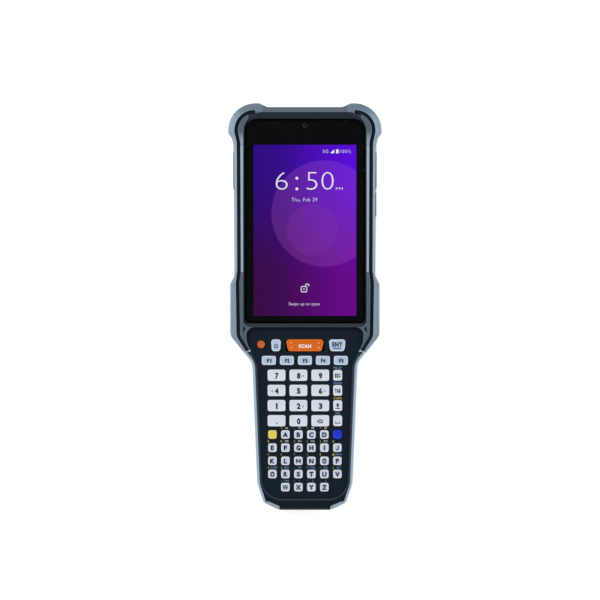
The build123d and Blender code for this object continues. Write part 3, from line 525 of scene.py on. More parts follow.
def rounded_copy(node, finish):
    solid = bmesh.new()
    solid.from_mesh(nodes[node].data)
    bmesh.ops.remove_doubles(solid, verts=solid.verts, dist=SAME_POINT)
    bmesh.ops.dissolve_limit(solid, angle_limit=FLAT_ANGLE, verts=solid.verts, edges=solid.edges)
    mesh = bpy.data.meshes.new(node + "_shape")
    solid.to_mesh(mesh)
    solid.free()
    piece = new_object(node + "_shape", mesh)
    bevel = piece.modifiers.new("soft_edges", "BEVEL")
    bevel.width = EDGE_ROUND
    bevel.segments = EDGE_SEGMENTS
    bevel.limit_method = "ANGLE"
    bevel.angle_limit = SHARP_ANGLE
    mesh.shade_smooth()
    even = piece.modifiers.new("even_faces", "WEIGHTED_NORMAL")
    even.weight = BIG_FACE_WEIGHT
    piece.data = plain_mesh(piece)
    piece.modifiers.clear()
    piece.data.materials.clear()
    piece.data.materials.append(finish)
    stand_in(piece, node)
    return piece


ROUNDED = {
    "top_bumper": corner_finish, "side_rails": rail_finish, "shoulder_bumpers": shoulder_finish,
    "handle_trims": trim_finish, "front_housing": front_finish, "rear_housing": housing_finish,
    "display_bezel": bezel_finish, "battery_pack": battery_finish, "battery_latch": latch_finish,
    "side_scan_key_left": side_key_finish, "side_scan_key_right": side_key_finish,
    "volume_rocker": side_key_finish, "strap_bar": steel,
}
for node, finish in ROUNDED.items():
    made = rounded_copy(node, finish)
    print(made.name, "faces:", len(made.data.polygons))

# %% [markdown]
# ## Glass
# The display's glass is clear, and looks black only because of the black print on its
# underside. The scan window is a dark red filter that lets only the aiming light out.
# A faint unevenness in the roughness stands for wiped finger marks.

# %% Glass finishes
GLASS_ROUGHNESS = 0.002
SMEAR, SMEAR_SCALE = 0.008, 60.0


def glass(name, colour):
    material, tree, shader = new_material(
        name, Base_Color=colour, Transmission_Weight=1.0, IOR=1.46, Specular_IOR_Level=0.3
    )
    uneven = math_node(tree, "MULTIPLY", noise(tree, SMEAR_SCALE), SMEAR)
    feed(tree, shader, {"Roughness": math_node(tree, "ADD", uneven, GLASS_ROUGHNESS)})
    return material


dress(glass("display_glass", WHITE), "display_window")
dress(glass("scan_glass", (0.25, 0.01, 0.02, 1)), "scan_window")
dress(glass("camera_glass", (0.4, 0.44, 0.5, 1)), "camera_window")
print("glass:", [m.name for m in bpy.data.materials if m.name.endswith("_glass")])

# %% [markdown]
# ## Rounded outlines
# Keys, prints and icons are all flat outlines with rounded corners. A rounded polygon is
# made once here, and can be moved inwards, which gives the rings of a soft key cap.

# %% Outline and mesh helpers
def side_normals(corners, i):
    """Outward normals of the two sides that meet at one corner of a polygon."""
    before = (corners[i] - corners[i - 1]).normalized()
    after = (corners[(i + 1) % len(corners)] - corners[i]).normalized()
    return Vector((before.y, -before.x)), Vector((after.y, -after.x))


def set_in(corner, first, second, distance):
    """The corner moved in until it is so far from both of its sides."""
    return corner - (first + second) * distance / (1 + first.dot(second))


def inward(corners, distance):
    """Convex polygon (anticlockwise) moved inwards by distance."""
    return [set_in(corner, *side_normals(corners, i), distance)
            for i, corner in enumerate(corners)]


def rounded(corners, radius, steps):
    """Points of a convex polygon (anticlockwise) whose corners are arcs."""
    points = []
    for i, corner in enumerate(corners):
        first, second = side_normals(corners, i)
        centre = set_in(corner, first, second, radius)
        start = math.atan2(first.y, first.x)
        turn = (math.atan2(second.y, second.x) - start) % math.tau
        for step in range(steps + 1):
            angle = start + turn * step / steps
            points.append(centre + radius * Vector((math.cos(angle), math.sin(angle))))
    return points


def rectangle(x, y, width, height):
    """Corners of a rectangle about its middle, anticlockwise from the lower left."""
    w, h = width / 2, height / 2
    return [Vector((x + right * w, y + up * h))
            for right, up in ((-1, -1), (1, -1), (1, 1), (-1, 1))]


def object_from(mesh_data, name, material):
    mesh = bpy.data.meshes.new(name)
    mesh_data.normal_update()
    mesh_data.to_mesh(mesh)
    mesh_data.free()
    mesh.materials.append(material)
    return new_object(name, mesh)


print("a key's outline has", len(rounded(rectangle(0, 0, 1, 1), 0.2, 5)), "points")

# %% [markdown]
# ## Key caps
# The keys are hard caps with a soft rounded rim round a shallow dish for the fingertip.
# A cap is a stack of rings: straight up the side, round a quarter circle, and down into
# the dish. Each ring also stores how near it is to the rim, and the material reads that
# attribute to paint the rim its own tone, on most keys a painted highlight for the light
# that the rounded rim of a translucent cap gathers.

# %% Cap rings
DECK_Z = 34.6 * MM
KEY_TOP_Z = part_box("scan_key")[1].z
FLANGE = 0.6 * MM       # how far each CAD key's flange reaches past its cap
EDGE = 0.4 * MM         # radius of the soft rim
DISH = 0.14 * MM        # depth of the finger dish
DISH_Z = KEY_TOP_Z - DISH
SKIRT_Z = DECK_Z - 1.2 * MM
CORNER = 1.1 * MM
CORNER_STEPS, RIM_STEPS = 5, 5
DISH_RINGS = ((1.5, 0.2, 0.7), (2.1, 1.0, 0.0))     # inset in rims, depth in dishes, rim share
TIGHTEST = 0.15         # least share of a corner's radius that an inner ring keeps


def cap_levels():
    """(inset, height, rim share) of each ring, from the skirt to the dish."""
    levels = [(0.0, SKIRT_Z, 1.0), (0.0, KEY_TOP_Z - EDGE, 1.0)]
    for step in range(1, RIM_STEPS + 1):
        angle = math.radians(90 * step / RIM_STEPS)
        inset = EDGE * (1 - math.cos(angle))
        levels.append((inset, KEY_TOP_Z - EDGE + EDGE * math.sin(angle), 1.0))
    return levels + [(EDGE * inset, KEY_TOP_Z - DISH * depth, rim)
                     for inset, depth, rim in DISH_RINGS]


def add_cap(mesh_data, corners, radius):
    """Adds a closed cap over a convex outline to a mesh."""
    layers = mesh_data.verts.layers.float
    share = layers.get("rim") or layers.new("rim")
    rows = []
    for inset, z, rim in cap_levels():
        ring_radius = max(radius - inset, radius * TIGHTEST)
        row = []
        for point in rounded(inward(corners, inset), ring_radius, CORNER_STEPS):
            vertex = mesh_data.verts.new((point.x, point.y, z))
            vertex[share] = rim
            row.append(vertex)
        rows.append(row)
    for low, high in zip(rows, rows[1:]):
        for i in range(len(low)):
            j = (i + 1) % len(low)
            mesh_data.faces.new((low[i], low[j], high[j], high[i])).smooth = True
    mesh_data.faces.new(list(reversed(rows[0])))
    mesh_data.faces.new(rows[-1]).smooth = True


def cap_middle(node):
    low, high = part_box(node)
    return (low.x + high.x) / 2, (low.y + high.y) / 2


def cap_size(node):
    """Width and height of the cap that a node's box holds, without its flange."""
    low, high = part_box(node)
    size = high - low
    return size.x - 2 * FLANGE, size.y - 2 * FLANGE


print("rings per cap:", len(cap_levels()))

# %% [markdown]
# ## Key plastics
# Each key colour is a pair: the dish and its rim. The rim is a paler painted highlight on
# all keys but the power key, whose rim is a deeper orange. The attribute that the caps
# store blends the two, so the pair follows the real shape of every key.

# %% Key plastics
def key_plastic(name, face, rim, roughness=0.5):
    def paint(tree, colour):
        near_rim = add_node(tree, "ShaderNodeAttribute", attribute_name="rim")
        # the rim's tone is a painted highlight on most keys
        return mix_colour(tree, near_rim.outputs["Fac"], colour, rim)
    return moulded(name, face, roughness, drift=0.03, depth=0.06, paint=paint,
                   Specular_IOR_Level=0.35)


# rim colours: painted highlight on the rounded rims; the power key's rim is a deeper orange
RIM_WHITE = linear(240, 244, 248)
PALE_RIM, YELLOW_RIM, BLUE_RIM = linear(220, 231, 246), linear(246, 232, 130), linear(28, 66, 236)
POWER_RIM, SCAN_RIM = linear(214, 84, 36), linear(242, 122, 26)
slot_finish = {
    "key_white": key_plastic("key_white", linear(227, 236, 246), RIM_WHITE),
    "key_pale_blue": key_plastic("key_pale_blue", linear(188, 207, 234), PALE_RIM),
    "key_letter": key_plastic("key_letter_blue", linear(202, 217, 238), RIM_WHITE),
    "key_yellow": key_plastic("key_yellow", linear(238, 220, 84), YELLOW_RIM),
    "key_blue": key_plastic("key_blue", linear(6, 44, 222), BLUE_RIM),
    "power_key_orange": key_plastic("key_power_orange", linear(222, 122, 84), POWER_RIM, 0.45),
    "scan_key_orange": key_plastic("scan_key_orange", linear(231, 106, 10), SCAN_RIM, 0.42),
}
print("key plastics:", sorted(slot_finish))

# %% [markdown]
# ## Single keys
# Most keys move on their own, so each is a piece of its own. Three keys of the top row
# taper: their outlines are trapezoids, cut by the amounts below. The power key is round.

# %% Caps of the single keys
TAPER = {"scan_key": 1.3 * MM, "enter_key": 0.8 * MM, "home_key": 0.5 * MM}
TAPER_CORNER = 1.5 * MM
ALL_ROUND = 0.999       # share of half the width, which leaves each side a short straight


def cap_piece(mesh_data, node):
    stand_in(object_from(mesh_data, node + "_cap", slot_finish[frame_slots[node]]), node)


def cap_outline(node):
    """Corners of a single key's cap, and their radius."""
    width, height = cap_size(node)
    corners = rectangle(*cap_middle(node), width, height)
    if node in TAPER:
        corners[0].x += TAPER[node]
        corners[1].x -= TAPER[node]
        return corners, TAPER_CORNER
    return corners, width / 2 * ALL_ROUND if node == "power_key" else CORNER


single_keys = [name for name in nodes if name != "key_mat"
               and (name.endswith("_key") or name.startswith(("key_", "function_key")))]
for name in single_keys:
    mesh_data = bmesh.new()
    add_cap(mesh_data, *cap_outline(name))
    cap_piece(mesh_data, name)
print("single keys:", len(single_keys))

# %% [markdown]
# ## Letter keys
# The letter keys are one cap, repeated in rows. Geometry Nodes do the repeating: a mesh
# line gives the places, the cap is put on each of them, and the copies are made real.
# The inputs name what a keypad drawing would: how many keys, their pitch, and where
# the row starts.

# %% The key row tree
def new_geometry_tree(name, inputs):
    """Geometry tree with (name, type) inputs, and the identifiers of its inputs."""
    tree = bpy.data.node_groups.new(name, "GeometryNodeTree")
    tree.interface.new_socket("Geometry", in_out="OUTPUT", socket_type="NodeSocketGeometry")
    keys = {label: tree.interface.new_socket(label, in_out="INPUT", socket_type=kind).identifier
            for label, kind in inputs}
    return tree, keys, add_node(tree, "NodeGroupInput"), add_node(tree, "NodeGroupOutput")


def finish_tree(tree, given, result, copies):
    """Ends a tree: instances made real, and the finish set on them."""
    real = add_node(tree, "GeometryNodeRealizeInstances", {0: copies})
    coat = add_node(tree, "GeometryNodeSetMaterial", {
        "Geometry": real.outputs[0], "Material": given.outputs["Finish"],
    })
    feed(tree, result, {0: coat.outputs[0]})


def build_key_row():
    tree, keys, given, result = new_geometry_tree("key_row", (
        ("Cap", "NodeSocketObject"), ("Count", "NodeSocketInt"), ("Pitch", NUMBER),
        ("First", "NodeSocketVector"), ("Finish", "NodeSocketMaterial"),
    ))
    step = add_node(tree, "ShaderNodeCombineXYZ", {"X": given.outputs["Pitch"]})
    line = add_node(tree, "GeometryNodeMeshLine", {
        "Count": given.outputs["Count"], "Start Location": given.outputs["First"],
        "Offset": step.outputs[0],
    }, mode="OFFSET")
    cap = add_node(tree, "GeometryNodeObjectInfo", {"Object": given.outputs["Cap"]})
    place = add_node(tree, "GeometryNodeInstanceOnPoints", {
        "Points": line.outputs[0], "Instance": cap.outputs["Geometry"],
    })
    finish_tree(tree, given, result, place.outputs[0])
    return tree, keys


def run_tree(tree, keys, values):
    """The mesh that a tree makes with these values."""
    carrier = new_object("carrier", bpy.data.meshes.new("carrier"))
    modifier = carrier.modifiers.new("nodes", "NODES")
    modifier.node_group = tree
    for label, value in values.items():
        modifier[keys[label]] = value
    mesh = plain_mesh(carrier)
    carrier.modifiers.clear()
    bpy.data.objects.remove(carrier)
    return mesh


key_row, key_row_inputs = build_key_row()
print("key row inputs:", list(key_row_inputs))

# %% [markdown]
# ## The rows of letters
# Four CAD nodes hold the letters, a run of the alphabet each. Their boxes give the first
# key and the pitch, so the caps fall exactly on the solids. The last node has two rows,
# and the shorter one stands in the middle under the longer.

# %% Letter caps
LETTER_ROWS = {
    "letter_keys_a_to_d": ["ABCD"], "letter_keys_e_to_j": ["EFGHIJ"],
    "letter_keys_k_to_p": ["KLMNOP"], "letter_keys_q_to_z": ["QRSTUV", "WXYZ"],
}
LETTER_SIZE = cap_size("yellow_key")[0]


def letter_rows(node):
    """(letters, x of the first, y, pitch) of each row of a letter node."""
    low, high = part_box(node)
    reach = LETTER_SIZE / 2 + FLANGE
    rows = LETTER_ROWS[node]
    longest = len(rows[0])
    pitch = (high.x - low.x - 2 * reach) / (longest - 1)
    return [(row, low.x + reach + pitch * (longest - len(row)) / 2, y, pitch)
            for row, y in zip(rows, (high.y - reach, low.y + reach))]


def letter_spots(node):
    """(letter, x, y) of each key of a letter node."""
    return [(letter, x + pitch * i, y) for row, x, y, pitch in letter_rows(node)
            for i, letter in enumerate(row)]


pattern = bmesh.new()
add_cap(pattern, rectangle(0, 0, LETTER_SIZE, LETTER_SIZE), CORNER)
pattern_cap = object_from(pattern, "pattern_cap", slot_finish["key_letter"])
for name in LETTER_ROWS:
    gathered = bmesh.new()
    for row, x, y, pitch in letter_rows(name):
        gathered.from_mesh(run_tree(key_row, key_row_inputs, {
            "Cap": pattern_cap, "Count": len(row), "Pitch": pitch, "First": (x, y, 0.0),
            "Finish": slot_finish["key_letter"],
        }))
    cap_piece(gathered, name)
bpy.data.objects.remove(pattern_cap)
print("letters:", sum(len(letter_spots(name)) for name in LETTER_ROWS))

# %% [markdown]
# ## Ink and print
# Legends are printed ink. Text objects give their outlines, which become plain meshes a
# few hundredths of a millimetre above the key. A word is set by the height of its
# capitals, as a printer would, and may be fitted to a width.

# %% Text in ink
INK = 0.03 * MM


def ink(name, colour):
    return moulded(name, colour, 0.6, grain=0.2 * MM, depth=0.03, drift=0.02,
                   Specular_IOR_Level=0.3)


ink_dark = ink("ink_dark", linear(10, 18, 36))
ink_white = ink("ink_white", linear(244, 246, 248))
ink_blue = ink("ink_blue", linear(112, 158, 206))
ink_yellow = ink("ink_yellow", linear(226, 206, 84))
ink_grey_blue = ink("ink_grey_blue", linear(84, 112, 178))
ink_red = ink("ink_red", linear(120, 34, 10))


def outline_mesh(words, bold, spacing=1.0):
    """Flat mesh of words at size 1, on a baseline at 0."""
    curve = bpy.data.curves.new("words", "FONT")
    curve.body = words
    curve.offset = bold
    curve.space_character = spacing
    curve.resolution_u = 3
    writing = new_object("words", curve)
    flat = plain_mesh(writing)
    bpy.data.objects.remove(writing)
    bpy.data.curves.remove(curve)
    return flat


CAPITAL = max(vertex.co.y for vertex in outline_mesh("H", 0.0).vertices)


def add_text(mesh_data, words, x, y, z, height, width=None, bold=0.0, spacing=1.0):
    """Adds words whose capitals are so high, centred on (x, y), to a mesh."""
    flat = outline_mesh(words, bold, spacing)
    left = min(vertex.co.x for vertex in flat.vertices)
    right = max(vertex.co.x for vertex in flat.vertices)
    up = height / CAPITAL
    across = width / (right - left) if width else up
    for vertex in flat.vertices:
        vertex.co = Vector((x + (vertex.co.x - (left + right) / 2) * across,
                            y + (vertex.co.y - CAPITAL / 2) * up, z + INK))
    mesh_data.from_mesh(flat)
    bpy.data.meshes.remove(flat)


print("capital height at size 1:", round(CAPITAL, 3))

# %% [markdown]
# ## Lines and shapes in ink
# Icons are strokes of even width and small filled outlines, built from the same few
# points a draughtsman would set out.

# %% Strokes and shapes
def add_shape(mesh_data, points, z):
    """Adds a flat closed outline (anticlockwise) to a mesh."""
    mesh_data.faces.new([mesh_data.verts.new((point[0], point[1], z + INK)) for point in points])


def add_stroke(mesh_data, points, width, z, closed=False):
    """Adds a line of even width along points."""
    points = [Vector(point) for point in points]
    count = len(points)
    rows = []
    for i, point in enumerate(points):
        before = points[i - 1] if i or closed else point
        after = points[(i + 1) % count] if i < count - 1 or closed else point
        way = (after - before).normalized()
        across = Vector((-way.y, way.x)) * width / 2
        rows.append([mesh_data.verts.new((side.x, side.y, z + INK))
                     for side in (point + across, point - across)])
    pairs = list(zip(rows, rows[1:])) + ([(rows[-1], rows[0])] if closed else [])
    for (left, right), (next_left, next_right) in pairs:
        mesh_data.faces.new((left, right, next_right, next_left))


def circle_points(x, y, radius, count=20, start=0.0, turn=math.tau):
    """Points of a circle, or of an arc with both its ends."""
    angles = [start + turn * i / count for i in range(count + (turn < math.tau))]
    return [(x + radius * math.cos(angle), y + radius * math.sin(angle)) for angle in angles]


def print_piece(mesh_data, name, body, material):
    piece = object_from(mesh_data, name, material)
    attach(piece, body)


def print_on_key(mesh_data, node, kind, material):
    """Print that rides with a key."""
    print_piece(mesh_data, f"{node}_{kind}", body_of_node(node), material)


print("circle points:", len(circle_points(0, 0, 1)))

# %% [markdown]
# ## Legends on the keys
# All the main print of one key is joined into one piece that rides with that key, so it
# goes down when the key is pressed. The font's 1 is a bare bar, so its upstroke is
# added. Sizes are in millimetres.

# %% Main legends
LEGEND = {                  # words, height of the capitals, width, shift to the right and up
    "enter_key": ("ENT", 2.1, 5.4, 0.0, 0.45), "scan_key": ("SCAN", 1.7, 6.8, 0.0, -0.45),
    "escape_key": ("ESC", 1.9, 3.1, 0.0, -0.2), "tab_key": ("TAB", 1.9, 3.1, 0.0, -0.2),
}
for digit in range(10):
    LEGEND[f"key_{digit}"] = (str(digit), 2.75, 0.9 if digit == 1 else 1.95, 0.15, -0.3)
for number in range(1, 6):
    LEGEND[f"function_key_{number}"] = (f"F{number}", 1.85, 2.5, 0.2, -0.2)
BOLD = 0.055
WORD_SPACING = 1.18         # bold letters set closer than this would run together
STEM_X = {"1": 0.15, "F1": 1.3}     # where the upstroke of a 1 meets its stem
STEM_TOP, UPSTROKE, UPSTROKE_WIDTH = 0.15, (0.75, 0.55), 0.4
UNDERLINE_Y, UNDERLINE_WIDTH, UNDERLINE_HEIGHT = -1.75, 4.4, 0.45
DOTS = [(x, y) for x in (-7.5, 7.5) for y in (-1.2, 1.4)]
DOT_RADIUS = 0.3


def add_upstroke(mesh_data, x, top):
    tip = Vector((x, top - STEM_TOP * MM))
    add_stroke(mesh_data, [tip - Vector(UPSTROKE) * MM, tip], UPSTROKE_WIDTH * MM, DISH_Z)


def add_underline(mesh_data, x, y):
    add_shape(mesh_data, rectangle(x, y + UNDERLINE_Y * MM, UNDERLINE_WIDTH * MM,
                                   UNDERLINE_HEIGHT * MM), DISH_Z)


def add_dots(mesh_data, x, y):
    for right, up in DOTS:
        dot = circle_points(x + right * MM, y + up * MM, DOT_RADIUS * MM, count=10)
        add_shape(mesh_data, dot, DISH_Z)


for name, (words, high, wide, right, up) in LEGEND.items():
    x, y = cap_middle(name)
    mesh_data = bmesh.new()
    add_text(mesh_data, words, x + right * MM, y + up * MM, DISH_Z, high * MM, wide * MM, BOLD,
             WORD_SPACING)
    if name == "enter_key":
        add_underline(mesh_data, x, y)
    if name == "scan_key":
        add_dots(mesh_data, x, y)
    if words in STEM_X:
        add_upstroke(mesh_data, x + STEM_X[words] * MM, y + (up + high / 2) * MM)
    print_on_key(mesh_data, name, "legend", ink_white if name == "scan_key" else ink_dark)
print("legends:", len(LEGEND))

# %% [markdown]
# ## Letters
# The letters are bolder than the font's own, and the wide ones are narrowed, so that
# their widths differ less. J and M are drawn as strokes instead, because squeezing the
# font's outlines would leave theirs uneven.

# %% Letters on the letter keys
LETTER_HEIGHT = 2.35 * MM
LETTER_DROP = 0.15 * MM
LETTER_BOLD = 0.05
LETTER_BOLDS = {"G": 0.055, "O": 0.07, "Q": 0.065, "W": 0.035}
LETTER_WIDTH = {            # in millimetres, for letters that need another width than their own
    "B": 1.9, "E": 1.75, "F": 1.7, "G": 2.2, "L": 1.7, "O": 2.3, "P": 1.8, "Q": 2.4, "R": 2.0,
    "S": 1.8, "W": 3.1,
}
DRAWN_LETTERS = {           # strokes, in millimetres from the letter's middle
    "J": [[(0.45, 1.175), (0.45, -0.45), (0.3, -0.8), (-0.1, -0.95), (-0.5, -0.85), (-0.8, -0.5)]],
    "M": [[(-1.05, -1.175), (-1.05, 1.175)], [(1.05, -1.175), (1.05, 1.175)],
          [(-1.0, 1.0), (0.0, -0.55)], [(0.0, -0.55), (1.0, 1.0)]],
}
LETTER_STROKE = 0.56 * MM


def add_letter(mesh_data, letter, x, y):
    if letter in DRAWN_LETTERS:
        for stroke in DRAWN_LETTERS[letter]:
            points = [(x + right * MM, y + up * MM) for right, up in stroke]
            add_stroke(mesh_data, points, LETTER_STROKE, DISH_Z)
    else:
        width = LETTER_WIDTH.get(letter)
        bold = LETTER_BOLDS.get(letter, LETTER_BOLD)
        add_text(mesh_data, letter, x, y, DISH_Z, LETTER_HEIGHT, width and width * MM, bold)


for name in LETTER_ROWS:
    mesh_data = bmesh.new()
    for letter, x, y in letter_spots(name):
        add_letter(mesh_data, letter, x, y - LETTER_DROP)
    print_on_key(mesh_data, name, "legend", ink_dark)
print("drawn letters:", list(DRAWN_LETTERS))

# %% [markdown]
# ## Symbols
# Power, home, point, backspace, shift and space are signs that every keypad shares.
# Each is drawn from strokes and plain shapes about the middle of its key.

# %% Symbols on the other keys
def draw_power(mesh_data, x, y):
    radius, line, low, top = 0.85 * MM, 0.26 * MM, 0.2 * MM, 1.1 * MM
    arc = circle_points(x, y, radius, count=14, start=math.radians(120), turn=math.radians(300))
    add_stroke(mesh_data, arc, line, DISH_Z)
    add_stroke(mesh_data, [(x, y + low), (x, y + top)], line, DISH_Z)


def draw_home(mesh_data, x, y):
    radius, line = 0.85 * MM, 0.5 * MM
    ring = circle_points(x + 0.1 * MM, y - 0.45 * MM, radius)
    add_stroke(mesh_data, ring, line, DISH_Z, closed=True)


def draw_point(mesh_data, x, y):
    radius = 0.42 * MM
    add_shape(mesh_data, circle_points(x + 0.15 * MM, y - 1.4 * MM, radius, count=14), DISH_Z)


def draw_backspace(mesh_data, x, y):
    w, h, nose, line = 1.05 * MM, 0.7 * MM, 0.6 * MM, 0.7 * MM
    middle = y - 0.3 * MM
    outline = [(x + w, middle - h), (x + w, middle + h), (x - w + nose, middle + h),
               (x - w - nose, middle), (x - w + nose, middle - h)]
    add_stroke(mesh_data, outline, line, DISH_Z, closed=True)


def draw_shift(mesh_data, x, y):
    wing, wing_y, tip = 1.0 * MM, y + 0.25 * MM, (x, y + 1.45 * MM)
    add_shape(mesh_data, [(x - wing, wing_y), (x + wing, wing_y), tip], DISH_Z)
    add_shape(mesh_data, rectangle(x, y - 0.3 * MM, 0.84 * MM, 1.1 * MM), DISH_Z)
    add_shape(mesh_data, rectangle(x, y - 1.5 * MM, 2.6 * MM, 0.5 * MM), DISH_Z)


def draw_space(mesh_data, x, y):
    w, top, foot, line = 1.2 * MM, y - 0.35 * MM, y - 1.35 * MM, 0.42 * MM
    tray = [(x - w, top), (x - w, foot), (x + w, foot), (x + w, top)]
    add_stroke(mesh_data, tray, line, DISH_Z)


SYMBOLS = {
    "power_key": draw_power, "home_key": draw_home, "point_key": draw_point,
    "backspace_key": draw_backspace, "shift_key": draw_shift, "space_key": draw_space,
}
for name, draw in SYMBOLS.items():
    mesh_data = bmesh.new()
    draw(mesh_data, *cap_middle(name))
    print_on_key(mesh_data, name, "symbol", ink_red if name == "power_key" else ink_dark)
print("symbols:", list(SYMBOLS))

# %% [markdown]
# ## Arrows
# Four digits double as cursor keys. Their small arrowheads are strokes that are turned
# to the heading and set beside the digit.

# %% Cursor arrows
ARROWS = {"key_8": (1, 90), "key_4": (-1, 180), "key_6": (1, 0), "key_2": (1, 270)}
ARROW_SHIFT, ARROW_DROP = 2.35 * MM, 0.35 * MM
ARROW_HALF, ARROW_TIP, ARROW_LENGTH, ARROW_STROKE = 0.65 * MM, 0.45 * MM, 0.85 * MM, 0.4 * MM
for name, (side, heading) in ARROWS.items():
    x, y = cap_middle(name)
    ahead = Vector((math.cos(math.radians(heading)), math.sin(math.radians(heading))))
    across = Vector((-ahead.y, ahead.x)) * ARROW_HALF
    tip = Vector((x + side * ARROW_SHIFT, y - ARROW_DROP)) + ahead * ARROW_TIP
    foot = tip - ahead * ARROW_LENGTH
    mesh_data = bmesh.new()
    add_stroke(mesh_data, [foot + across, tip, foot - across], ARROW_STROKE, DISH_Z)
    print_on_key(mesh_data, name, "arrow", ink_grey_blue)
print("arrows:", list(ARROWS))

# %% [markdown]
# ## Print on the keypad's face
# Each letter key has a second function, printed small on the housing above it, and so
# have the four keys beside the digits. Yellow print belongs to the yellow key and blue
# print to the blue one. The names of further function keys are white.

# %% Second legends
SECOND = {
    "letter_keys_a_to_d": [("+", "F6"), ("-", "F7"), ("*", "F8"), ("/", "F9")],
    "letter_keys_e_to_j": [("&", ""), ("%", "F10"), ("=", "F11"), ("(", "F12"), (")", "F13"),
                           ("#", "")],
    "letter_keys_k_to_p": [("<", ""), (">", ""), ("?", ""), ("!", ""), ("$", ""), ("@", "MENU")],
    "letter_keys_q_to_z": [("[", "HOME"), ("]", "END"), ("_", "INS"), ("^", "CTRL"), ("~", "DEL"),
                           ("|", "ALT"), (":", "SYM"), (";", "1"), ("'", "2"), (",", "3")],
}
EDIT_WORDS = {              # word, tone and width over the keys beside the digits
    "escape_key": ("PGUP", "blue", 4.4), "tab_key": ("PGDN", "blue", 4.4),
    "shift_key": ("CAPS", "yellow", 4.4), "space_key": ("FN", "blue", 2.2),
}
SMALL, SMALL_BOLD = 0.95 * MM, 0.01
EDIT_HEIGHT = SMALL * 1.15
SECOND_LIFT, EDIT_LIFT = 1.2 * MM, 1.1 * MM
SIGN_X, WORD_X = -2.2 * MM, 0.7 * MM
second_print = {tone: bmesh.new() for tone in ("yellow", "blue", "white")}
for name, labels in SECOND.items():
    for (_, x, y), (sign, word) in zip(letter_spots(name), labels):
        line_y = y + LETTER_SIZE / 2 + SECOND_LIFT
        add_text(second_print["yellow"], sign, x + SIGN_X, line_y, DECK_Z, SMALL, bold=SMALL_BOLD)
        if word:
            tone = "white" if word.startswith("F") else "blue"
            add_text(second_print[tone], word, x + WORD_X, line_y, DECK_Z, SMALL, bold=SMALL_BOLD)
for name, (words, tone, wide) in EDIT_WORDS.items():
    x, y = cap_middle(name)
    line_y = y + cap_size(name)[1] / 2 + EDIT_LIFT
    add_text(second_print[tone], words, x, line_y, DECK_Z, EDIT_HEIGHT, wide * MM, SMALL_BOLD)
for tone, material in (("yellow", ink_yellow), ("blue", ink_blue), ("white", ink_white)):
    print_piece(second_print[tone], f"keypad_print_{tone}", MAIN, material)
print("second legends:", sum(len(labels) for labels in SECOND.values()))

# %% [markdown]
# ## The lit display
# Under the glass lie three layers: the picture, which glows, a black printed border
# that hides the panel's edges, and the figures of the start screen. The picture is a
# plain gradient from plum through violet to indigo with two large faint discs, all of
# it worked out from the position, so it needs no image.

# %% Display picture
SCREEN_HALF = 28.1 * MM
SCREEN_LOW = -5.0 * MM
SCREEN_TOP = 88.6 * MM
SCREEN_MIDDLE = (SCREEN_LOW + SCREEN_TOP) / 2
LCD_TOP_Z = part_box("lcd_module")[1].z
PICTURE_GAP = 0.01 * MM     # the picture lies just above the panel
PLUM = linear(58, 3, 72)
INDIGO = linear(48, 4, 132)
VIOLET = linear(92, 6, 222)
MAGENTA = linear(106, 0, 142)
DISC_PINK = linear(206, 96, 226)
BLEND_X, BLEND_Y = (-24.0, 34.0), (8.0, 84.0)       # millimetres, as the next two lines
DISCS = ((10.7, 51.0, 29.0, 0.11), (4.0, 42.0, 14.0, 0.05))     # x, y, radius and strength
DISC_BLUR = 0.3
BONDED_ROUGHNESS = 0.85


def bonded(name, colour=(0, 0, 0, 1), glow=None):
    """Uneven matt ink bonded to the glass. glow is its light, or a function that returns it."""
    material, tree, shader = new_material(name, Specular_IOR_Level=0.0)
    inputs = {"Colour": colour, "Roughness": BONDED_ROUGHNESS}
    group = add_node(tree, "ShaderNodeGroup", inputs, node_tree=moulded_group)
    feed(tree, shader, {
        "Base Color": group.outputs["Colour"], "Roughness": group.outputs["Roughness"],
    })
    if glow:
        light = glow(tree) if callable(glow) else glow
        feed(tree, shader, {"Emission Color": light, "Emission Strength": 1.0})
    return material


def disc(tree, x, y, centre_x, centre_y, radius):
    """1 inside a disc, 0 outside, with a fine soft edge, in millimetres."""
    away_x = math_node(tree, "SUBTRACT", x, centre_x)
    away_y = math_node(tree, "SUBTRACT", y, centre_y)
    inside = math_node(tree, "SUBTRACT", radius, length(tree, away_x, away_y))
    return past(tree, inside, 0.0, DISC_BLUR)


def picture_light(tree):
    x, y, _ = coordinates(tree)
    up = smooth_step(tree, y, *BLEND_Y)
    left = mix_colour(tree, up, PLUM, INDIGO)
    right = mix_colour(tree, up, MAGENTA, VIOLET)
    light = mix_colour(tree, smooth_step(tree, x, *BLEND_X), left, right)
    for centre_x, centre_y, radius, strength in DISCS:
        inside = disc(tree, x, y, centre_x, centre_y, radius)
        share = math_node(tree, "MULTIPLY", inside, strength)
        light = mix_colour(tree, share, light, DISC_PINK)
    return light


picture = bmesh.new()
screen = rectangle(0, SCREEN_MIDDLE, 2 * SCREEN_HALF, SCREEN_TOP - SCREEN_LOW)
add_shape(picture, screen, LCD_TOP_Z - INK + PICTURE_GAP)
picture_finish = bonded("display_picture", glow=picture_light)
print_piece(picture, "display_picture", MAIN, picture_finish)
print("picture, mm:", round(2 * SCREEN_HALF / MM, 1), "x", round((SCREEN_TOP - SCREEN_LOW) / MM, 1))

# %% [markdown]
# ## Black border
# The border is a frame of black ink on the underside of the glass, from the glass's
# edge to the picture. It is a ring between two rounded outlines with equally many points.

# %% Black border under the glass
BORDER_Z = LCD_TOP_Z + 0.04 * MM
GLASS_EDGE = 0.15 * MM
GLASS_CORNERS = (3.3 * MM, 3.3 * MM, 7.0 * MM, 7.0 * MM)
PICTURE_CORNER = 0.3 * MM
ARC_STEPS = 12


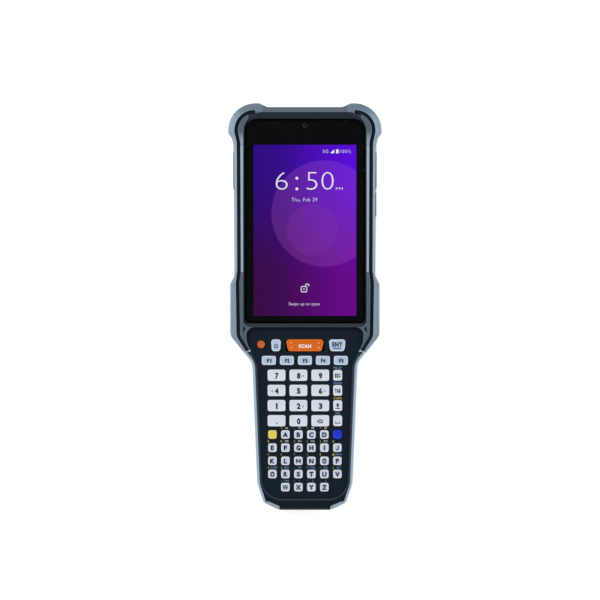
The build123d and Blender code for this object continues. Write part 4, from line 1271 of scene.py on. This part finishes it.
def ring_between(outer, inner):
    """Flat ring between two outlines with equally many points."""
    ring = bmesh.new()
    outside, inside = ([ring.verts.new((p.x, p.y, BORDER_Z)) for p in line]
                       for line in (outer, inner))
    for i in range(len(outside)):
        j = (i + 1) % len(outside)
        ring.faces.new((outside[i], outside[j], inside[j], inside[i]))
    return ring


glass_low, glass_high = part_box("display_window")
glass_corners = rectangle(0, (glass_low.y + glass_high.y) / 2,
                          glass_high.x - glass_low.x - 2 * GLASS_EDGE,
                          glass_high.y - glass_low.y - 2 * GLASS_EDGE)
glass_outline = []
for i, radius in enumerate(GLASS_CORNERS):
    own_arc = slice(i * (ARC_STEPS + 1), (i + 1) * (ARC_STEPS + 1))
    glass_outline += rounded(glass_corners, radius, ARC_STEPS)[own_arc]
border = ring_between(glass_outline, rounded(screen, PICTURE_CORNER, ARC_STEPS))
border_ink = bonded("border_black", linear(5, 12, 17))
print_piece(border, "glass_border_print", MAIN, border_ink)
print("border points:", len(glass_outline))

# %% [markdown]
# ## Start screen
# The clock, date and signs of the start screen are thin glowing shapes just above the
# picture. The clock is set in light strokes, so its outlines are thinned.

# %% Start screen figures
CLOCK_Y, CLOCK_HIGH, CLOCK_BOLD = 68.9, 10.2, -0.023        # millimetres, as all sizes here
CLOCK = (("6", -12.7, 6.6), ("5", 3.9, 5.9), ("0", 12.4, 6.7))
COLON_X, COLON_YS, COLON_RADIUS = -4.4, (64.5, 70.3), 0.8
STATUS_Y = 85.0
WORDS = (                   # words, x, y, height, width and boldness
    ("PM", 18.8, 64.6, 1.4, 3.7, -0.01), ("Thu, Feb 29", -0.3, 58.6, 2.0, 14.0, -0.012),
    ("Swipe up to open", -0.4, 1.6, 1.6, 16.8, -0.008), ("5G", 11.3, STATUS_Y, 1.8, 3.0, -0.012),
    ("100%", 22.2, STATUS_Y, 1.8, 6.0, -0.018),
)
FIGURE_SPACING = 1.12
SIGNAL = ((13.8, -1.0), (16.0, -1.0), (16.0, 1.1))
CHARGE_X, CHARGE_WIDTH, CHARGE_HEIGHT = 17.7, 1.3, 2.2
figures = bmesh.new()
for words, x, wide in CLOCK:
    add_text(figures, words, x * MM, CLOCK_Y * MM, LCD_TOP_Z, CLOCK_HIGH * MM, wide * MM,
             CLOCK_BOLD)
for y in COLON_YS:
    dot = circle_points(COLON_X * MM, y * MM, COLON_RADIUS * MM, count=16)
    add_shape(figures, dot, LCD_TOP_Z)
for words, x, y, high, wide, bold in WORDS:
    add_text(figures, words, x * MM, y * MM, LCD_TOP_Z, high * MM, wide * MM, bold, FIGURE_SPACING)
add_shape(figures, [(x * MM, (STATUS_Y + up) * MM) for x, up in SIGNAL], LCD_TOP_Z)
add_shape(figures, rectangle(CHARGE_X * MM, STATUS_Y * MM, CHARGE_WIDTH * MM, CHARGE_HEIGHT * MM),
          LCD_TOP_Z)
print("clock height, mm:", CLOCK_HIGH)

# %% [markdown]
# ## Padlock
# The open padlock over the last line is three marks: a rounded body, its keyhole, and a
# bow that swings out to the right.

# %% Padlock
LOCK_X, LOCK_Y = -0.5 * MM, 9.6 * MM
LOCK_SIZE, LOCK_CORNER, LOCK_LINE, KEYHOLE = 3.0 * MM, 0.6 * MM, 0.42 * MM, 0.4 * MM
BOW_SHIFT, BOW_LIFT, BOW_RADIUS = 1.75 * MM, 1.95 * MM, 0.95 * MM
BOW_START, BOW_TURN = math.radians(-20), math.radians(215)
lock_body = rounded(rectangle(LOCK_X, LOCK_Y, LOCK_SIZE, LOCK_SIZE), LOCK_CORNER, steps=4)
add_stroke(figures, lock_body, LOCK_LINE, LCD_TOP_Z, closed=True)
add_shape(figures, circle_points(LOCK_X, LOCK_Y, KEYHOLE, count=12), LCD_TOP_Z)
bow = circle_points(LOCK_X + BOW_SHIFT, LOCK_Y + BOW_LIFT, BOW_RADIUS, count=14,
                    start=BOW_START, turn=BOW_TURN)
add_stroke(figures, bow, LOCK_LINE, LCD_TOP_Z)
figure_white = bonded("figure_white", glow=linear(240, 238, 248))
print_piece(figures, "display_figures", MAIN, figure_white)
print("padlock, mm:", LOCK_SIZE / MM)

# %% [markdown]
# ## Camera and sensors behind the glass
# Over the border print lie the marks of the front camera, a dark lens with a grey ring.
# Three faint sensor windows sit beside it, hardly lighter than the print.

# %% Front camera ring
ring_ink = bonded("lens_ring_grey", linear(84, 97, 108))
sensor_ink = bonded("sensor_window", linear(17, 25, 32))
lens_black = moulded("lens_black", linear(10, 14, 26), 0.08, depth=0.0)
UNDER_GLASS = BORDER_Z + 0.005 * MM - INK
LENS_Y, LENS_RADIUS = 99.2 * MM, 0.85 * MM
RING_GAP, RING_LINE = 0.2 * MM, 0.36 * MM
SENSORS = ((-15.8, 101.0, 2.6), (18.2, 99.4, 1.8), (22.2, 100.6, 3.0))      # x, y and width
SENSOR_HEIGHT, SENSOR_CORNER = 1.3, 0.6
lens, ring, sensors = bmesh.new(), bmesh.new(), bmesh.new()
add_shape(lens, circle_points(0, LENS_Y, LENS_RADIUS, count=24), UNDER_GLASS)
print_piece(lens, "front_lens", MAIN, lens_black)
ring_points = circle_points(0, LENS_Y, LENS_RADIUS + RING_GAP, count=24)
add_stroke(ring, ring_points, RING_LINE, UNDER_GLASS, closed=True)
print_piece(ring, "front_lens_ring", MAIN, ring_ink)
for x, y, wide in SENSORS:
    window = rectangle(x * MM, y * MM, wide * MM, SENSOR_HEIGHT * MM)
    add_shape(sensors, rounded(window, SENSOR_CORNER * MM, steps=5), UNDER_GLASS)
print_piece(sensors, "sensor_windows", MAIN, sensor_ink)
print("ring outside, mm:", round((2 * (LENS_RADIUS + RING_GAP) + RING_LINE) / MM, 2))

# %% [markdown]
# ## Screws on the back
# Six socket screws pull the rear housing onto the front one. They are all alike, so
# Geometry Nodes make one, a round head less a six-sided socket, and repeat it on the
# points of a small mesh. Each is turned by its own angle from a fixed seed, because no
# two screws stop at the same angle.

# %% The screw tree
HEAD_SIDES, SOCKET_SIDES = 32, 6


def build_screws():
    tree, keys, given, result = new_geometry_tree("socket_screws", (
        ("Spots", "NodeSocketObject"), ("Head Radius", NUMBER), ("Head Height", NUMBER),
        ("Socket Radius", NUMBER), ("Socket Depth", NUMBER), ("Seed", "NodeSocketInt"),
        ("Finish", "NodeSocketMaterial"),
    ))
    head = add_node(tree, "GeometryNodeMeshCylinder", {
        "Vertices": HEAD_SIDES, "Radius": given.outputs["Head Radius"],
        "Depth": given.outputs["Head Height"],
    })
    socket = add_node(tree, "GeometryNodeMeshCylinder", {
        "Vertices": SOCKET_SIDES, "Radius": given.outputs["Socket Radius"],
        "Depth": given.outputs["Socket Depth"],
    })
    half = math_node(tree, "MULTIPLY", given.outputs["Head Height"], -0.5)
    down = add_node(tree, "ShaderNodeCombineXYZ", {"Z": half})
    lowered = add_node(tree, "GeometryNodeTransform", {
        "Geometry": socket.outputs["Mesh"], "Translation": down.outputs[0],
    })
    solids = {0: head.outputs["Mesh"], 1: lowered.outputs[0]}
    cut = add_node(tree, "GeometryNodeMeshBoolean", solids, operation="DIFFERENCE")
    spots = add_node(tree, "GeometryNodeObjectInfo", {"Object": given.outputs["Spots"]})
    angle = add_node(tree, "FunctionNodeRandomValue", {
        "Max": math.tau, "Seed": given.outputs["Seed"],
    }, data_type="FLOAT")
    drawn = next(output for output in angle.outputs if output.enabled)
    turn = add_node(tree, "ShaderNodeCombineXYZ", {"Z": drawn})
    place = add_node(tree, "GeometryNodeInstanceOnPoints", {
        "Points": spots.outputs["Geometry"], "Instance": cut.outputs["Mesh"],
        "Rotation": turn.outputs[0],
    })
    finish_tree(tree, given, result, place.outputs[0])
    return tree, keys


screw_tree, screw_inputs = build_screws()
print("screw inputs:", list(screw_inputs))

# %% [markdown]
# ## Setting the screws
# The spots are the middles of the heads, in the recesses of the rear housing. The
# sockets face the back, which is down here, because the terminal lies on its back.

# %% Six screws
SCREW_SPOTS = ((31.0, 97.0), (31.0, 12.0), (17.2, -103.6))      # the right-hand three
HEAD_RADIUS, HEAD_HEIGHT, HEAD_SEAT = 2.1 * MM, 0.9 * MM, 5.6 * MM
SOCKET_RADIUS, SOCKET_DEPTH = 1.1 * MM, 1.2 * MM
head_z = HEAD_SEAT - HEAD_HEIGHT / 2
spot_mesh = bpy.data.meshes.new("screw_spots")
spot_mesh.from_pydata([(side * x * MM, y * MM, head_z) for x, y in SCREW_SPOTS
                       for side in (-1, 1)], [], [])
spot_carrier = new_object("screw_spots", spot_mesh)
screw_mesh = run_tree(screw_tree, screw_inputs, {
    "Spots": spot_carrier, "Head Radius": HEAD_RADIUS, "Head Height": HEAD_HEIGHT,
    "Socket Radius": SOCKET_RADIUS, "Socket Depth": SOCKET_DEPTH, "Seed": 5, "Finish": steel,
})
bpy.data.objects.remove(spot_carrier)
screws = new_object("housing_screws", screw_mesh)
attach(screws, MAIN)
print("screw faces:", len(screw_mesh.polygons))

# %% [markdown]
# ## Floor
# A white sweep. The floor adds a little glow for what looks at it straight or through
# gloss and glass, so it reads as white paper while the terminal's shadow stays. Its
# back is see-through, so that the terminal can be looked at from below.

# %% Floor
FLOOR_GLOW = 0.45
PAPER_GLOW = 0.18           # more for the camera alone, which keeps the shadow faint
PAPER_WHITE = (0.86, 0.86, 0.86, 1)
FLOOR_Z = -0.2 * MM
FLOOR_HALF = 3.0


def ray_kind(tree, kind):
    return add_node(tree, "ShaderNodeLightPath").outputs[f"Is {kind} Ray"]


def seen_rays(tree):
    """1 for rays that come from the camera, a mirror or through glass."""
    straight = math_node(tree, "MAXIMUM", ray_kind(tree, "Camera"), ray_kind(tree, "Glossy"))
    return math_node(tree, "MAXIMUM", straight, ray_kind(tree, "Transmission"))


def floor_material():
    material = bpy.data.materials.new("paper_floor")
    material.use_nodes = True
    tree = material.node_tree
    tree.nodes.clear()
    paper = add_node(tree, "ShaderNodeBsdfDiffuse", {"Color": PAPER_WHITE})
    shared = math_node(tree, "MULTIPLY", seen_rays(tree), FLOOR_GLOW)
    strength = math_node(tree, "MULTIPLY_ADD", ray_kind(tree, "Camera"), PAPER_GLOW, shared)
    glow = add_node(tree, "ShaderNodeEmission", {"Strength": strength})
    both = add_node(tree, "ShaderNodeAddShader", {0: paper.outputs[0], 1: glow.outputs[0]})
    clear = add_node(tree, "ShaderNodeBsdfTransparent")
    back = add_node(tree, "ShaderNodeNewGeometry").outputs["Backfacing"]
    choice = add_node(tree, "ShaderNodeMixShader", {
        0: back, 1: both.outputs[0], 2: clear.outputs[0],
    })
    add_node(tree, "ShaderNodeOutputMaterial", {"Surface": choice.outputs[0]})
    return material


floor_mesh = bmesh.new()
bmesh.ops.create_grid(floor_mesh, x_segments=1, y_segments=1, size=FLOOR_HALF)
for vertex in floor_mesh.verts:
    vertex.co.z = FLOOR_Z
floor = object_from(floor_mesh, "paper_floor", floor_material())
print("floor at, mm:", FLOOR_Z / MM)

# %% [markdown]
# ## World
# Pale light comes from all round, but gloss and glass see a studio whose ceiling is
# dark, as over a copy stand: that keeps black glass black. Past the floor's edge, the
# camera sees plain white.

# %% World
WORLD_LIGHT = (0.40, 0.41, 0.42, 1)
STUDIO_WALLS = (0.38, 0.39, 0.41, 1)
STUDIO_CEILING = (0.05, 0.05, 0.055, 1)
CEILING_START, CEILING_FULL = 0.45, 0.85    # height of a direction, 1 straight up
scene = bpy.context.scene
scene.view_settings.view_transform = "Standard"
world = bpy.data.worlds.new("studio")
scene.world = world
world.use_nodes = True
sky = world.node_tree
direction = add_node(sky, "ShaderNodeTexCoord").outputs["Generated"]
overhead = smooth_step(sky, split_vector(sky, direction)[2], CEILING_START, CEILING_FULL)
studio = mix_colour(sky, overhead, STUDIO_WALLS, STUDIO_CEILING)
around = mix_colour(sky, seen_rays(sky), WORLD_LIGHT, studio)
feed(sky, sky.nodes["Background"], {
    "Color": mix_colour(sky, ray_kind(sky, "Camera"), around, WHITE), "Strength": 1.0,
})
print("world:", world.name)

# %% [markdown]
# ## Lamps
# Three large soft lamps give the bumpers their gentle shading. The one over the heel is
# kept out of gloss, because the glass would mirror it to someone who looks from behind.

# %% Lamps
def soft_lamp(name, place, size, power, in_gloss=True):
    light = bpy.data.lights.new(name, "AREA")
    light.shape = "SQUARE"
    light.size = size
    light.energy = power
    lamp = new_object(name, light)
    lamp.location = place
    lamp.rotation_mode = "QUATERNION"
    lamp.rotation_quaternion = (-Vector(place)).to_track_quat("-Z", "Y")
    lamp.visible_glossy = in_gloss


soft_lamp("key_light", (-0.62, 0.42, 0.72), 0.5, 4.2)
soft_lamp("fill_light", (0.72, 0.12, 0.6), 0.6, 2.4)
soft_lamp("heel_light", (-0.1, -0.78, 0.6), 0.6, 0.8, in_gloss=False)
print("lamps:", len(bpy.data.lights))

# %% [markdown]
# ## Camera
# The picture is taken from straight above with a long lens, so the outline shows no
# perspective. The lens follows from the height and the width of the view.

# %% Camera
CAMERA_HEIGHT = 3.0
FACE_Z = 36 * MM
VIEW_WIDTH = 328.2 * MM
CENTRE = (-2.68 * MM, 3.69 * MM)
lens_data = bpy.data.cameras.new("product_camera")
lens_data.lens = lens_data.sensor_width * (CAMERA_HEIGHT - FACE_Z) / VIEW_WIDTH
lens_data.clip_end = 20.0
camera = new_object("product_camera", lens_data)
camera.location = (*CENTRE, CAMERA_HEIGHT)
scene.camera = camera
print("lens:", round(lens_data.lens, 1), "mm")
